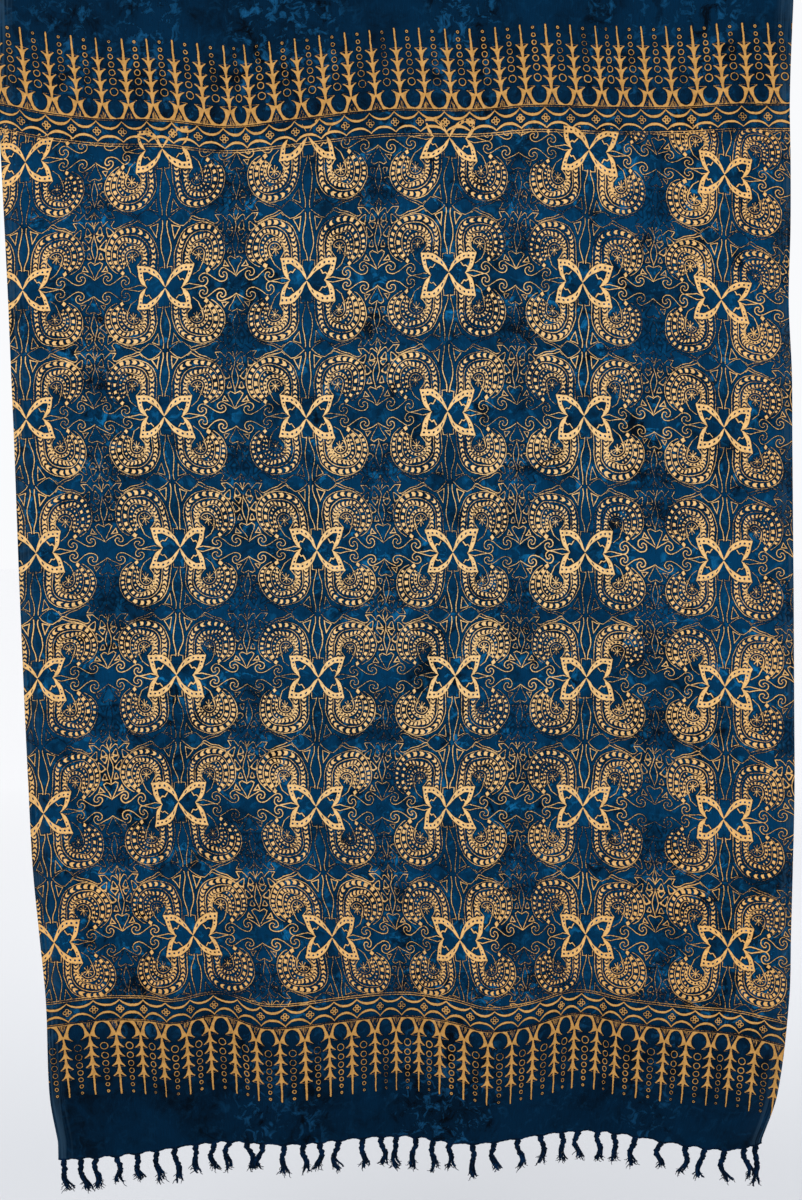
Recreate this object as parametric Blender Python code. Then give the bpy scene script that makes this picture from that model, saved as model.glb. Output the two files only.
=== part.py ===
import bisect
import math
from collections import namedtuple

import bmesh
import bpy
from mathutils import Matrix, Vector

# A sarong hung from a round rod, in metres, with +Z up, +X to the viewer's right and the printed
# side facing -Y. The origin is the middle of the rod, which the cloth's top end is folded over.

# The rod
ROD_RADIUS = 0.0125
ROD_LENGTH = 1.26
ROD_SIDES = 32
ROD_EDGE = 0.0015

# The cloth
WALL = 0.0012
GAP = 0.0003
HANG_RADIUS = ROD_RADIUS + GAP + WALL / 2
RETURN_DROP = 0.055
COLUMNS = 36
FRONT_ROWS = 24
ROW_CROWDING = 0.25
WRAP_ROWS = 10
RETURN_ROWS = 3

# The rolled hem strips that the fringes grow from
HEM_HEIGHT = 0.005
HEM_THICKNESS = 0.0022

# The two selvages, from the rod down
Side = namedtuple("Side", "height left right")
SIDES = (
    Side(0.000, -0.556, 0.540),
    Side(-0.160, -0.556, 0.537),
    Side(-0.250, -0.553, 0.5395),
    Side(-0.340, -0.550, 0.541),
    Side(-0.440, -0.547, 0.5405),
    Side(-0.540, -0.545, 0.547),
    Side(-0.630, -0.543, 0.5495),
    Side(-0.830, -0.540, 0.555),
    Side(-1.000, -0.536, 0.559),
    Side(-1.130, -0.532, 0.562),
    Side(-1.240, -0.528, 0.562),
    Side(-1.340, -0.520, 0.5615),
    Side(-1.440, -0.512, 0.561),
    Side(-1.580, -0.509, 0.547),
    Side(-1.650, -0.498, 0.525),
)

# The bottom edge, from the left selvage: its height, and how far each flute stands forward there
Hem = namedtuple("Hem", "across height flute")
HEM = (
    Hem(0.000, -1.676, 0.004),
    Hem(0.087, -1.664, 0.018),
    Hem(0.229, -1.658, -0.020),
    Hem(0.326, -1.649, 0.014),
    Hem(0.488, -1.648, -0.015),
    Hem(0.585, -1.648, 0.018),
    Hem(0.747, -1.642, -0.024),
    Hem(0.879, -1.649, 0.013),
    Hem(0.950, -1.656, 0.018),
    Hem(1.000, -1.655, -0.006),
)
FLUTE_START = 0.28
FLUTE_POWER = 1.35
FLUTE_LEAN = 0.035

# The slow swells of the flat part, which die away at the rod
Swell = namedtuple("Swell", "depth across down shift")
SWELLS = (
    Swell(0.0035, 1.7, 0.8, 0.4),
    Swell(0.0020, 3.1, -1.3, 2.1),
    Swell(0.0012, 5.3, 1.9, 4.0),
)
SWELL_EASE = 0.12

# The return behind the rod hangs in a few shallow waves
RETURN_WAVE = 0.002
RETURN_WAVES = 6

# The tassels, from the left selvage: where the root is, how far the tip hangs below it, how far
# the tip leans to the right, and how far the middle bows to the right
Tassel = namedtuple("Tassel", "place length lean bow")
TASSELS = (
    Tassel(0.008, 0.044, 0.012, -0.004),
    Tassel(0.033, 0.050, 0.010, 0.000),
    Tassel(0.058, 0.044, 0.003, -0.002),
    Tassel(0.088, 0.039, 0.003, 0.001),
    Tassel(0.116, 0.038, 0.007, -0.001),
    Tassel(0.143, 0.045, 0.004, 0.001),
    Tassel(0.170, 0.050, 0.007, -0.001),
    Tassel(0.200, 0.042, 0.004, -0.005),
    Tassel(0.225, 0.039, 0.003, -0.004),
    Tassel(0.248, 0.042, -0.003, -0.004),
    Tassel(0.274, 0.038, 0.010, 0.002),
    Tassel(0.298, 0.038, -0.009, -0.002),
    Tassel(0.329, 0.042, -0.001, 0.001),
    Tassel(0.359, 0.041, 0.003, -0.001),
    Tassel(0.382, 0.037, -0.003, 0.001),
    Tassel(0.409, 0.044, 0.000, -0.006),
    Tassel(0.442, 0.041, 0.003, 0.002),
    Tassel(0.471, 0.042, 0.004, 0.001),
    Tassel(0.494, 0.046, 0.002, -0.006),
    Tassel(0.520, 0.049, -0.006, 0.001),
    Tassel(0.546, 0.045, -0.001, 0.001),
    Tassel(0.571, 0.038, 0.002, -0.002),
    Tassel(0.603, 0.048, 0.003, -0.001),
    Tassel(0.634, 0.042, 0.006, -0.003),
    Tassel(0.669, 0.042, 0.006, 0.001),
    Tassel(0.703, 0.044, 0.004, 0.001),
    Tassel(0.733, 0.044, 0.003, 0.001),
    Tassel(0.758, 0.041, 0.002, -0.003),
    Tassel(0.787, 0.041, 0.001, 0.001),
    Tassel(0.811, 0.041, 0.003, -0.001),
    Tassel(0.840, 0.042, -0.004, -0.003),
    Tassel(0.878, 0.038, 0.000, -0.005),
    Tassel(0.912, 0.040, -0.007, 0.003),
    Tassel(0.940, 0.044, -0.006, -0.006),
    Tassel(0.968, 0.046, 0.006, -0.005),
    Tassel(0.998, 0.045, 0.010, 0.001),
    Tassel(1.018, 0.060, 0.002, -0.002),
)
TASSEL_SPREAD = 1.026
ROOT_WIDTH = 0.0058
SWING = 0.0022
LEAN_POWER = 1.4

# A lock of yarn at shares of its length: its side, its distance from the tassel's middle, and how
# far round that middle the pair has turned, in degrees
Section = namedtuple("Section", "share side apart turn")
TWISTED_LOCKS = (
    Section(0.12, 0.0036, 0.0022, 0),
    Section(0.28, 0.0028, 0.0018, 55),
    Section(0.48, 0.0030, 0.0019, 115),
    Section(0.70, 0.0030, 0.0020, 170),
    Section(1.00, 0.0020, 0.0036, 185),
)
PLAIN_LOCK = (
    Section(0.14, 0.0052, 0.0, 0),
    Section(0.60, 0.0042, 0.0, 40),
    Section(1.00, 0.0024, 0.0, 70),
)


def smooth_share(t):
    """Eases from 0 to 1, level at both ends."""
    t = min(max(t, 0.0), 1.0)
    return t * t * (3.0 - 2.0 * t)


def curve_through(rows, key, column, place):
    """A smooth curve through one column of a table, read at a place in its key column."""
    places = [getattr(row, key) for row in rows]
    values = [getattr(row, column) for row in rows]
    if places[-1] < places[0]:
        places.reverse()
        values.reverse()
    place = min(max(place, places[0]), places[-1])
    i = min(max(bisect.bisect_right(places, place) - 1, 0), len(rows) - 2)

    def slope(k):
        low, high = max(k - 1, 0), min(k + 1, len(rows) - 1)
        return (values[high] - values[low]) / (places[high] - places[low])

    span = places[i + 1] - places[i]
    t = (place - places[i]) / span
    return (
        values[i] * (1 + 2 * t) * (1 - t) ** 2
        + values[i + 1] * t * t * (3 - 2 * t)
        + span * (slope(i) * t * (1 - t) ** 2 - slope(i + 1) * t * t * (1 - t))
    )


def hem_height(across):
    return curve_through(HEM, "across", "height", across)


def front_depth(across, down):
    """How far the cloth stands forward of its flat plane; down runs from 0 to 1."""
    leaned = across + FLUTE_LEAN * (1.0 - down) * math.sin(math.pi * across)
    growth = smooth_share((down - FLUTE_START) / (1.0 - FLUTE_START)) ** FLUTE_POWER
    flute = curve_through(HEM, "across", "flute", leaned) * growth
    swell = 0.0
    for row in SWELLS:
        angle = 2 * math.pi * (row.across * across + row.down * down) + row.shift
        swell += row.depth * math.sin(angle)
    return flute + swell * smooth_share(down / SWELL_EASE) * (1.0 - 0.5 * growth)


def front_point(across, down):
    """The middle of the wall on the front stretch."""
    z = hem_height(across) * down
    left = curve_through(SIDES, "height", "left", z)
    right = curve_through(SIDES, "height", "right", z)
    x = left + (right - left) * across
    return Vector((x, -HANG_RADIUS - front_depth(across, down), z))


def x_at_rod(across):
    return SIDES[0].left + (SIDES[0].right - SIDES[0].left) * across


def wrap_point(across, turn):
    """The middle of the wall round the rod, from the back at turn 0 to the front at turn 1."""
    angle = math.pi * turn
    return Vector((x_at_rod(across), HANG_RADIUS * math.cos(angle), HANG_RADIUS * math.sin(angle)))


def return_point(across, up):
    """The middle of the wall on the short return behind the rod, from its hem up."""
    wave = 1.0 + math.sin(2 * math.pi * RETURN_WAVES * across)
    y = HANG_RADIUS + RETURN_WAVE * wave * smooth_share(1.0 - up)
    return Vector((x_at_rod(across), y, RETURN_DROP * (up - 1.0)))


def outward(surface, across, along):
    """The normal on the printed side. Every stretch runs from the back hem to the bottom hem."""
    step = 1e-4
    left, right = max(across - step, 0.0), min(across + step, 1.0)
    start, end = max(along - step, 0.0), min(along + step, 1.0)
    run = surface(across, end) - surface(across, start)
    return run.cross(surface(right, along) - surface(left, along)).normalized()


def add_object(name, bm, material, smooth_angle=40.0):
    bmesh.ops.recalc_face_normals(bm, faces=bm.faces)
    mesh = bpy.data.meshes.new(name)
    bm.to_mesh(mesh)
    bm.free()
    mesh.shade_smooth()
    mesh.set_sharp_from_angle(angle=math.radians(smooth_angle))
    mesh.materials.append(material)
    obj = bpy.data.objects.new(name, mesh)
    bpy.context.scene.collection.objects.link(obj)
    return obj


def make_material(name, color, roughness):
    material = bpy.data.materials.new(name)
    material.use_nodes = True
    shader = material.node_tree.nodes["Principled BSDF"]
    shader.inputs["Base Color"].default_value = (*color, 1.0)
    shader.inputs["Roughness"].default_value = roughness
    shader.inputs["Metallic"].default_value = 0.0
    return material


def close_wall(bm, outer, inner):
    """Joins two grids of vertices, row by row, into one closed wall."""
    rows, columns = len(outer), len(outer[0])
    for i in range(rows - 1):
        for j in range(columns - 1):
            bm.faces.new((outer[i][j], outer[i][j + 1], outer[i + 1][j + 1], outer[i + 1][j]))
            bm.faces.new((inner[i][j], inner[i + 1][j], inner[i + 1][j + 1], inner[i][j + 1]))
    for i in range(rows - 1):
        for j in (0, columns - 1):
            bm.faces.new((outer[i][j], outer[i + 1][j], inner[i + 1][j], inner[i][j]))
    for j in range(columns - 1):
        for i in (0, rows - 1):
            bm.faces.new((outer[i][j], inner[i][j], inner[i][j + 1], outer[i][j + 1]))


def wall_verts(bm, surface, across, along, thickness):
    """One vertex on each side of the cloth at a place on it."""
    point = surface(across, along)
    offset = outward(surface, across, along) * (thickness / 2)
    return [bm.verts.new(point + offset), bm.verts.new(point - offset)]


def cloth_rows():
    """The surface and the place along it of each row, from the back hem over the rod to the front."""
    rows = []
    above_hem = (HEM_HEIGHT + GAP) / RETURN_DROP
    for k in range(RETURN_ROWS):
        rows.append((return_point, above_hem + (1.0 - above_hem) * k / RETURN_ROWS))
    for k in range(WRAP_ROWS):
        rows.append((wrap_point, k / WRAP_ROWS))
    for k in range(FRONT_ROWS + 1):
        share = k / FRONT_ROWS
        rows.append((front_point, share * (1.0 + ROW_CROWDING * (1.0 - share))))
    return rows


def make_cloth(material):
    bm = bmesh.new()
    outer, inner = [], []
    for surface, along in cloth_rows():
        pairs = []
        for j in range(COLUMNS + 1):
            across = j / COLUMNS
            # The front stretch stops above its rolled hem strip
            above_hem = 1.0 + (HEM_HEIGHT + GAP) / hem_height(across)
            place = along * above_hem if surface is front_point else along
            pairs.append(wall_verts(bm, surface, across, place, WALL))
        outer.append([pair[0] for pair in pairs])
        inner.append([pair[1] for pair in pairs])
    close_wall(bm, outer, inner)
    return add_object("cloth", bm, material)


def make_fringe(name, material, surface, end, strip_top, sections, swing):
    """A hem strip at the end of a stretch of cloth, with the tassels drawn out of it.

    strip_top gives the strip's other side, as a place along the stretch for a share across. A
    section away from the tassel's middle makes a pair of locks, one each side of it.
    """
    bm = bmesh.new()
    width = surface(1.0, end).x - surface(0.0, end).x
    half_root = ROOT_WIDTH / 2 / width
    places = [0.0]
    for tassel in TASSELS:
        middle = tassel.place / TASSEL_SPREAD
        places += [middle - half_root, middle, middle + half_root]
    places.append(1.0)
    top = [wall_verts(bm, surface, u, strip_top(u), HEM_THICKNESS) for u in places]
    bottom = [wall_verts(bm, surface, u, end, HEM_THICKNESS) for u in places]
    outer = [[pair[0] for pair in row] for row in (top, bottom)]
    inner = [[pair[1] for pair in row] for row in (top, bottom)]
    close_wall(bm, outer, inner)

    for index, tassel in enumerate(TASSELS):
        first = 1 + 3 * index
        forward = swing if index % 2 else -swing
        left, middle, right = bottom[first : first + 3]
        if sections[0].apart:
            draw_lock(bm, [left, middle], tassel, forward, sections, -1)
            draw_lock(bm, [middle, right], tassel, forward, sections, 1)
        else:
            draw_lock(bm, [left, middle, right], tassel, forward, sections, 0)
    return add_object(name, bm, material, smooth_angle=60.0)


def draw_lock(bm, root, tassel, forward, sections, hand):
    """Draws one lock of yarn down from the strip's underside, between pairs of its vertices."""
    for a, b in zip(root, root[1:]):
        underside = {*a, *b}
        face = next(f for f in a[0].link_faces if set(f.verts) == underside)
        bmesh.ops.delete(bm, geom=[face], context="FACES_ONLY")
    ring = [pair[0] for pair in root] + [pair[1] for pair in reversed(root)]
    middle = sum((v.co for v in (*root[0], *root[-1])), Vector()) / 4
    middle.x -= hand * ROOT_WIDTH / 4
    front = math.copysign(1.0, root[0][0].co.y - root[0][1].co.y)
    corners = ((-1, 1), (1, 1), (1, -1), (-1, -1))
    for section in sections:
        share = section.share
        turn = math.radians(section.turn)
        lean = tassel.lean * share**LEAN_POWER + tassel.bow * math.sin(math.pi * share)
        centre = middle + Vector((lean, forward * share, -tassel.length * share))
        round_middle = Matrix.Rotation(turn, 3, "Z")
        centre += round_middle @ Vector((hand * section.apart, 0.0, 0.0))
        lower = []
        for right, out in corners:
            corner = Vector((right, front * out, 0.0)) * (section.side / 2)
            lower.append(bm.verts.new(centre + round_middle @ corner))
        if len(ring) == len(lower):
            for k in range(4):
                after = (k + 1) % 4
                bm.faces.new((ring[k], ring[after], lower[after], lower[k]))
        else:
            # A root two faces wide has three vertices on each side of the strip
            bm.faces.new((ring[0], ring[1], ring[2], lower[1], lower[0]))
            bm.faces.new((ring[2], ring[3], lower[2], lower[1]))
            bm.faces.new((ring[3], ring[4], ring[5], lower[3], lower[2]))
            bm.faces.new((ring[5], ring[0], lower[0], lower[3]))
        ring = lower
    bm.faces.new(ring)


def make_rod(material):
    bm = bmesh.new()
    bmesh.ops.create_cone(
        bm,
        cap_ends=True,
        segments=ROD_SIDES,
        radius1=ROD_RADIUS,
        radius2=ROD_RADIUS,
        depth=ROD_LENGTH,
    )
    rims = [edge for edge in bm.edges if abs(edge.verts[0].co.z - edge.verts[1].co.z) < 1e-6]
    bmesh.ops.bevel(bm, geom=rims, offset=ROD_EDGE, segments=2, affect="EDGES", profile=0.5)
    for vert in bm.verts:
        vert.co = (vert.co.z, vert.co.y, vert.co.x)
    return add_object("rod", bm, material)


def main():
    for obj in list(bpy.data.objects):
        bpy.data.objects.remove(obj, do_unlink=True)
    rayon = make_material("rayon", (0.004, 0.055, 0.105), 0.75)
    yarn = make_material("yarn", (0.003, 0.014, 0.035), 0.85)
    wood = make_material("wood", (0.085, 0.040, 0.020), 0.5)

    make_rod(wood)
    make_cloth(rayon)
    make_fringe(
        "bottom_fringe",
        yarn,
        front_point,
        1.0,
        lambda across: 1.0 + HEM_HEIGHT / hem_height(across),
        TWISTED_LOCKS,
        SWING,
    )
    make_fringe(
        "top_fringe",
        yarn,
        return_point,
        0.0,
        lambda across: HEM_HEIGHT / RETURN_DROP,
        PLAIN_LOCK,
        SWING / 2,
    )


main()
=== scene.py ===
import math
from functools import partial

import bpy
import numpy as np
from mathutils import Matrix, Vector


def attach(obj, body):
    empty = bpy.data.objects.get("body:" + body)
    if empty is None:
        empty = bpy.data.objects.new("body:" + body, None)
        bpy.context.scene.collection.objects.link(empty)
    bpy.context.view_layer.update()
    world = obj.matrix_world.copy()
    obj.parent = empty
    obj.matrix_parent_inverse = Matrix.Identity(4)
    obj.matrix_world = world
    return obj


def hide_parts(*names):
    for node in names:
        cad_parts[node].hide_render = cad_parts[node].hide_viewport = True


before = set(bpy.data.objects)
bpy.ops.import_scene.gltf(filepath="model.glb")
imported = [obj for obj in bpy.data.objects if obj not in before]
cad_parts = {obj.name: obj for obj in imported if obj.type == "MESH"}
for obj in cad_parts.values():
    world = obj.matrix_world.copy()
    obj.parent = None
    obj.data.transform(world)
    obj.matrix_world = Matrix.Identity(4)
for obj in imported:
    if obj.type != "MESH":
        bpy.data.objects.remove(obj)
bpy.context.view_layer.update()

# A batik sarong hung from a rod. +Z is up, the printed front faces -Y, and the middle of the rod
# is the origin. All sizes are metres unless a name says otherwise.


def toLinear(hexColour):
    parts = [int(hexColour[i : i + 2], 16) / 255 for i in (1, 3, 5)]
    return tuple(p / 12.92 if p <= 0.04045 else ((p + 0.055) / 1.055) ** 2.4 for p in parts) + (1,)


def addNode(tree, kind, *values, out=0, **settings):
    # a kind such as "Math ADD" names the operation too; the values fill the sockets in their
    # order, and a None leaves its socket as it is
    kind, _, operation = kind.partition(" ")
    made = tree.nodes.new("ShaderNode" + kind)
    if operation:
        made.operation = operation
    for key, value in settings.items():
        setattr(made, key, value)
    for socket, value in zip(made.inputs, values):
        if isinstance(value, bpy.types.NodeSocket):
            tree.links.new(value, socket)
        elif value is not None:
            socket.default_value = value
    return made.outputs[out]


def perMetre(sizesMm):
    return tuple(1000 / size for size in sizesMm)


def startMaterial(name):
    # a new material, and the function that adds nodes to it
    material = bpy.data.materials.new(name)
    material.use_nodes = True
    return material, partial(addNode, material.node_tree)


def fillShader(material, sockets):
    # each of the shader's named sockets gets its constant, or the end of a row of nodes
    tree = material.node_tree
    shader = tree.nodes["Principled BSDF"]
    for name, value in sockets.items():
        if isinstance(value, bpy.types.NodeSocket):
            tree.links.new(value, shader.inputs[name])
        else:
            shader.inputs[name].default_value = value


def smoothCurve(table, place):
    # the same curve as the solid's: through every row of (place, value), with central slopes
    places, values = np.array(sorted(table)).T
    last = len(places) - 1
    low, high = np.maximum(np.arange(last + 1) - 1, 0), np.minimum(np.arange(last + 1) + 1, last)
    slopes = (values[high] - values[low]) / (places[high] - places[low])
    place = np.clip(place, places[0], places[-1])
    i = np.clip(np.searchsorted(places, place, side="right") - 1, 0, last - 1)
    span = places[i + 1] - places[i]
    t = (place - places[i]) / span
    bend = span * (slopes[i] * t * (1 - t) ** 2 - slopes[i + 1] * t * t * (1 - t))
    return values[i] * (1 + 2 * t) * (1 - t) ** 2 + values[i + 1] * t * t * (3 - 2 * t) + bend


def eased(t):
    t = np.clip(t, 0, 1)
    return t * t * (3 - 2 * t)


photoCamera = {
    "place": (0, -2.813, -0.584),
    "pitchDown": 5.6,  # degrees
    "focalPixels": 1988,
    "imagePixels": (802, 1200),
    "sensorMm": 36,
    "farthest": 60,
}


def makeCamera():
    data = bpy.data.cameras.new("photoCamera")
    data.sensor_fit = "VERTICAL"
    data.sensor_height = photoCamera["sensorMm"]
    data.lens = photoCamera["sensorMm"] * photoCamera["focalPixels"] / photoCamera["imagePixels"][1]
    data.clip_end = photoCamera["farthest"]
    camera = bpy.data.objects.new("photoCamera", data)
    camera.location = photoCamera["place"]
    camera.rotation_euler = (math.radians(90 - photoCamera["pitchDown"]), 0, 0)
    bpy.context.scene.collection.objects.link(camera)
    bpy.context.scene.camera = camera


makeCamera()
print("camera placed")

# The cloth's form repeats the solid's numbers, so the two lie on each other
cloth = {
    "flat": (1.10, 1.75),
    "hangRadius": 0.0134,  # the rod, a hair's gap and half the solid's wall
    "thickness": 0.0009,  # real rayon is 0.3 mm; this keeps its two faces apart in the export
    "returnDrop": 0.055,
    "columns": 168,
    "returnRows": 10,
    "wrapRows": 24,
    "frontRows": 243,
    "fluteStart": 0.28,
    "flutePower": 1.35,
    "fluteLean": 0.035,
    "swellEase": 0.12,
    "hemStart": 0.975,  # the hem's own form begins this share of the way down
    "hemRipple": 0.0005,
    "hemTurns": 195,  # radians of ripple across the width
    "hemPull": 0.0024,  # how far the hem rises between the tassels that pull it down
    "tieReach": 0.013,  # share of the width over which it rises
    # where the bottom tassels are tied in, as shares of the width
    "ties": (
        0.008, 0.032, 0.057, 0.086, 0.113, 0.139, 0.166, 0.195, 0.219, 0.242, 0.267, 0.290, 0.321,
        0.350, 0.372, 0.399, 0.431, 0.459, 0.481, 0.507, 0.532, 0.557, 0.588, 0.618, 0.652, 0.685,
        0.714, 0.739, 0.767, 0.790, 0.819, 0.856, 0.889, 0.916, 0.943, 0.973, 0.992,
    ),
    "returnWave": 0.002,
    "returnWaves": 6,
    "left": (
        (0.000, -0.556), (-0.160, -0.556), (-0.250, -0.553), (-0.340, -0.550), (-0.440, -0.547),
        (-0.540, -0.545), (-0.630, -0.543), (-0.830, -0.540), (-1.000, -0.536), (-1.130, -0.532),
        (-1.240, -0.528), (-1.340, -0.520), (-1.440, -0.512), (-1.580, -0.509), (-1.650, -0.498),
    ),
    "right": (
        (0.000, 0.540), (-0.160, 0.537), (-0.250, 0.5395), (-0.340, 0.541), (-0.440, 0.5405),
        (-0.540, 0.547), (-0.630, 0.5495), (-0.830, 0.555), (-1.000, 0.559), (-1.130, 0.562),
        (-1.240, 0.562), (-1.340, 0.5615), (-1.440, 0.561), (-1.580, 0.547), (-1.650, 0.525),
    ),
    "hemHeight": (
        (0.000, -1.676), (0.087, -1.664), (0.229, -1.658), (0.326, -1.649), (0.488, -1.648),
        (0.585, -1.648), (0.747, -1.642), (0.879, -1.649), (0.950, -1.656), (1.000, -1.655),
    ),
    "flute": (
        (0.000, 0.004), (0.087, 0.018), (0.229, -0.020), (0.326, 0.014), (0.488, -0.015),
        (0.585, 0.018), (0.747, -0.024), (0.879, 0.013), (0.950, 0.018), (1.000, -0.006),
    ),
    # slow swells: depth, turns across, turns down, shift
    "swells": ((0.0035, 1.7, 0.8, 0.4), (0.0020, 3.1, -1.3, 2.1), (0.0012, 5.3, 1.9, 4.0)),
    "creaseWander": 0.006,
    # soft creases: depth, then place across and down of both ends, half width
    "creases": (
        (0.0016, 0.10, 0.34, 0.13, 0.62, 0.018), (-0.0014, 0.21, 0.05, 0.17, 0.30, 0.020),
        (0.0015, 0.38, 0.42, 0.42, 0.78, 0.016), (-0.0016, 0.52, 0.30, 0.47, 0.55, 0.018),
        (0.0014, 0.60, 0.02, 0.63, 0.26, 0.022), (0.0018, 0.70, 0.45, 0.66, 0.88, 0.016),
        (-0.0015, 0.82, 0.12, 0.86, 0.48, 0.018), (0.0016, 0.93, 0.40, 0.90, 0.80, 0.014),
        (-0.0012, 0.30, 0.60, 0.25, 0.93, 0.016), (0.0013, 0.55, 0.66, 0.58, 0.96, 0.014),
        (-0.0013, 0.05, 0.64, 0.08, 0.95, 0.014), (0.0010, 0.44, 0.03, 0.41, 0.22, 0.020),
        (-0.0010, 0.74, 0.60, 0.78, 0.95, 0.014), (0.0009, 0.15, 0.76, 0.16, 0.97, 0.012),
    ),
}


def hemHeight(across):
    return smoothCurve(cloth["hemHeight"], across)


def creaseDepth(across, down):
    # each crease is a soft ridge or trough that dies away at its ends and wanders a little
    depth = np.zeros_like(across)
    for high, acrossA, downA, acrossB, downB, halfWidth in cloth["creases"]:
        along = np.clip((down - downA) / (downB - downA), 0, 1)
        wander = cloth["creaseWander"] * np.sin(9 * along + 40 * acrossA)
        side = (across - acrossA - (acrossB - acrossA) * along - wander) / halfWidth
        lengthwise = eased(along * 3) * eased((1 - along) * 3)
        inside = (down > downA) & (down < downB)
        depth += high * lengthwise * inside * np.exp(-side * side)
    return depth


def hemLift(across, down):
    # the hem ripples, and rises between the tassels that pull it down
    tieAway = np.abs(np.asarray(across)[..., None] - np.array(cloth["ties"])).min(axis=-1)
    lift = cloth["hemRipple"] * np.sin(cloth["hemTurns"] * across + 1)
    lift = lift + cloth["hemPull"] * (eased(tieAway / cloth["tieReach"]) - 0.5)
    return lift * eased((down - cloth["hemStart"]) / (1 - cloth["hemStart"]))


def frontPoint(across, down):
    leaned = across + cloth["fluteLean"] * (1 - down) * np.sin(math.pi * across)
    growth = eased((down - cloth["fluteStart"]) / (1 - cloth["fluteStart"])) ** cloth["flutePower"]
    depth = smoothCurve(cloth["flute"], leaned) * growth
    swell = 0
    for high, turnsAcross, turnsDown, shift in cloth["swells"]:
        swell = swell + high * np.sin(2 * math.pi * (turnsAcross * across + turnsDown * down) + shift)
    depth = depth + swell * eased(down / cloth["swellEase"]) * (1 - 0.5 * growth)
    depth = depth + creaseDepth(across, down)
    z = hemHeight(across) * down + hemLift(across, down)
    left, right = smoothCurve(cloth["left"], z), smoothCurve(cloth["right"], z)
    return np.stack([left + (right - left) * across, -cloth["hangRadius"] - depth, z], -1)


def xAtRod(across):
    return cloth["left"][0][1] + (cloth["right"][0][1] - cloth["left"][0][1]) * across


def wrapPoint(across, turn):
    angle = math.pi * turn + 0 * across
    radius = cloth["hangRadius"]
    return np.stack([xAtRod(across), radius * np.cos(angle), radius * np.sin(angle)], -1)


def returnPoint(across, up):
    wave = 1 + np.sin(2 * math.pi * cloth["returnWaves"] * across)
    y = cloth["hangRadius"] + cloth["returnWave"] * wave * eased(1 - up)
    return np.stack([xAtRod(across), y, cloth["returnDrop"] * (up - 1) + 0 * across], -1)


def clothGrid():
    # rows run from the back hem over the rod and down the front to the bottom hem
    across = np.linspace(0, 1, cloth["columns"] + 1)
    rows = [returnPoint(across, k / cloth["returnRows"]) for k in range(cloth["returnRows"])]
    rows += [wrapPoint(across, k / cloth["wrapRows"]) for k in range(cloth["wrapRows"])]
    front = [frontPoint(across, k / cloth["frontRows"]) for k in range(cloth["frontRows"] + 1)]
    return across, np.array(rows + front), len(rows)


# Where the print landed, in mm on the flat cloth
printPlace = {
    # the middle of each hand-set stamp, row by row
    "stamps": (
        ((-519, -249), (-329, -231), (-129, -212), (67, -215), (262, -233), (449, -267)),
        ((-528, -425), (-328, -420), (-130, -412), (66, -400), (254, -414), (448, -438)),
        ((-526, -602), (-332, -598), (-133, -601), (65, -591), (257, -601), (453, -616)),
        ((-517, -792), (-312, -784), (-118, -787), (73, -791), (261, -792), (457, -803)),
        ((-516, -973), (-319, -964), (-118, -970), (77, -966), (263, -969), (461, -983)),
        ((-510, -1166), (-317, -1149), (-122, -1157), (66, -1157), (260, -1154), (463, -1173)),
        ((-499, -1355), (-300, -1342), (-99, -1346), (85, -1350), (266, -1343), (469, -1361)),
    ),
    "stampPitch": (195.5, -185.3),  # the usual step across and down
    # the line that each border's spikes stand on
    "topBase": (
        (-554, -169.5), (-497, -180.9), (-413, -190.4), (-328, -191.8), (-240, -200.3), (-155, -191.8),
        (-59, -180.9), (0, -176.9), (106, -177.5), (184, -171.4), (283, -174.1), (385, -174.1),
        (459, -170.1), (537, -170.1),
    ),
    "bottomBase": (
        (-510, -1478.8), (-435, -1469.3), (-367, -1469.5), (-331, -1474.3), (-262, -1462.5),
        (-201, -1480.3), (-153, -1480.3), (-95, -1472.1), (0, -1463.4), (71, -1472.1), (125, -1486.2),
        (182, -1478.8), (254, -1459.5), (324, -1472.9), (422, -1484.7), (477, -1489.2), (519, -1498.1),
        (556, -1507.8),
    ),
    # each spike across, and how far its foot leans to the right of its tip at both ends
    "topSpikes": (
        -525, -490, -455, -421, -385, -351, -316, -281, -245, -217, -182, -147, -113, -78, -44, -10, 24,
        60, 94, 129, 163, 198, 232, 267, 296, 330, 364, 399, 434, 469, 504,
    ),
    "bottomSpikes": (
        -485, -447, -409, -374, -344, -308, -275, -240, -208, -174, -138, -103, -71, -37, -7, 26, 56,
        91, 125, 160, 190, 222, 249, 282, 309, 343, 379, 410, 446, 475, 509, 542,
    ),
    "topLean": (10, 13),
    "bottomLean": (-10, 10),
    "spikeLength": 110,
    # the share of that length, up from its foot, at which each spike's place was measured
    "topMeasuredAt": 1.0,
    "bottomMeasuredAt": 0.5,
    "edgePitches": (35, 34),  # of the spikes past the first and the last
    "middleHeight": -850,  # parts the top border from the bottom one
    "bandShifts": (-0.66, -0.25),  # from the spikes to the band's arcs, in spikes, top and bottom
    "kindHeights": (-38, -8),  # heights: only stamps print under the first, and none over the second
}


def onFlatCloth(points):
    # where the camera sees each point on the flat plane that the print was measured on
    eye = np.array(photoCamera["place"])
    share = (-cloth["hangRadius"] - eye[1]) / (points[..., 1] - eye[1])
    return (eye + (points - eye) * share[..., None])[..., (0, 2)]


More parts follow.
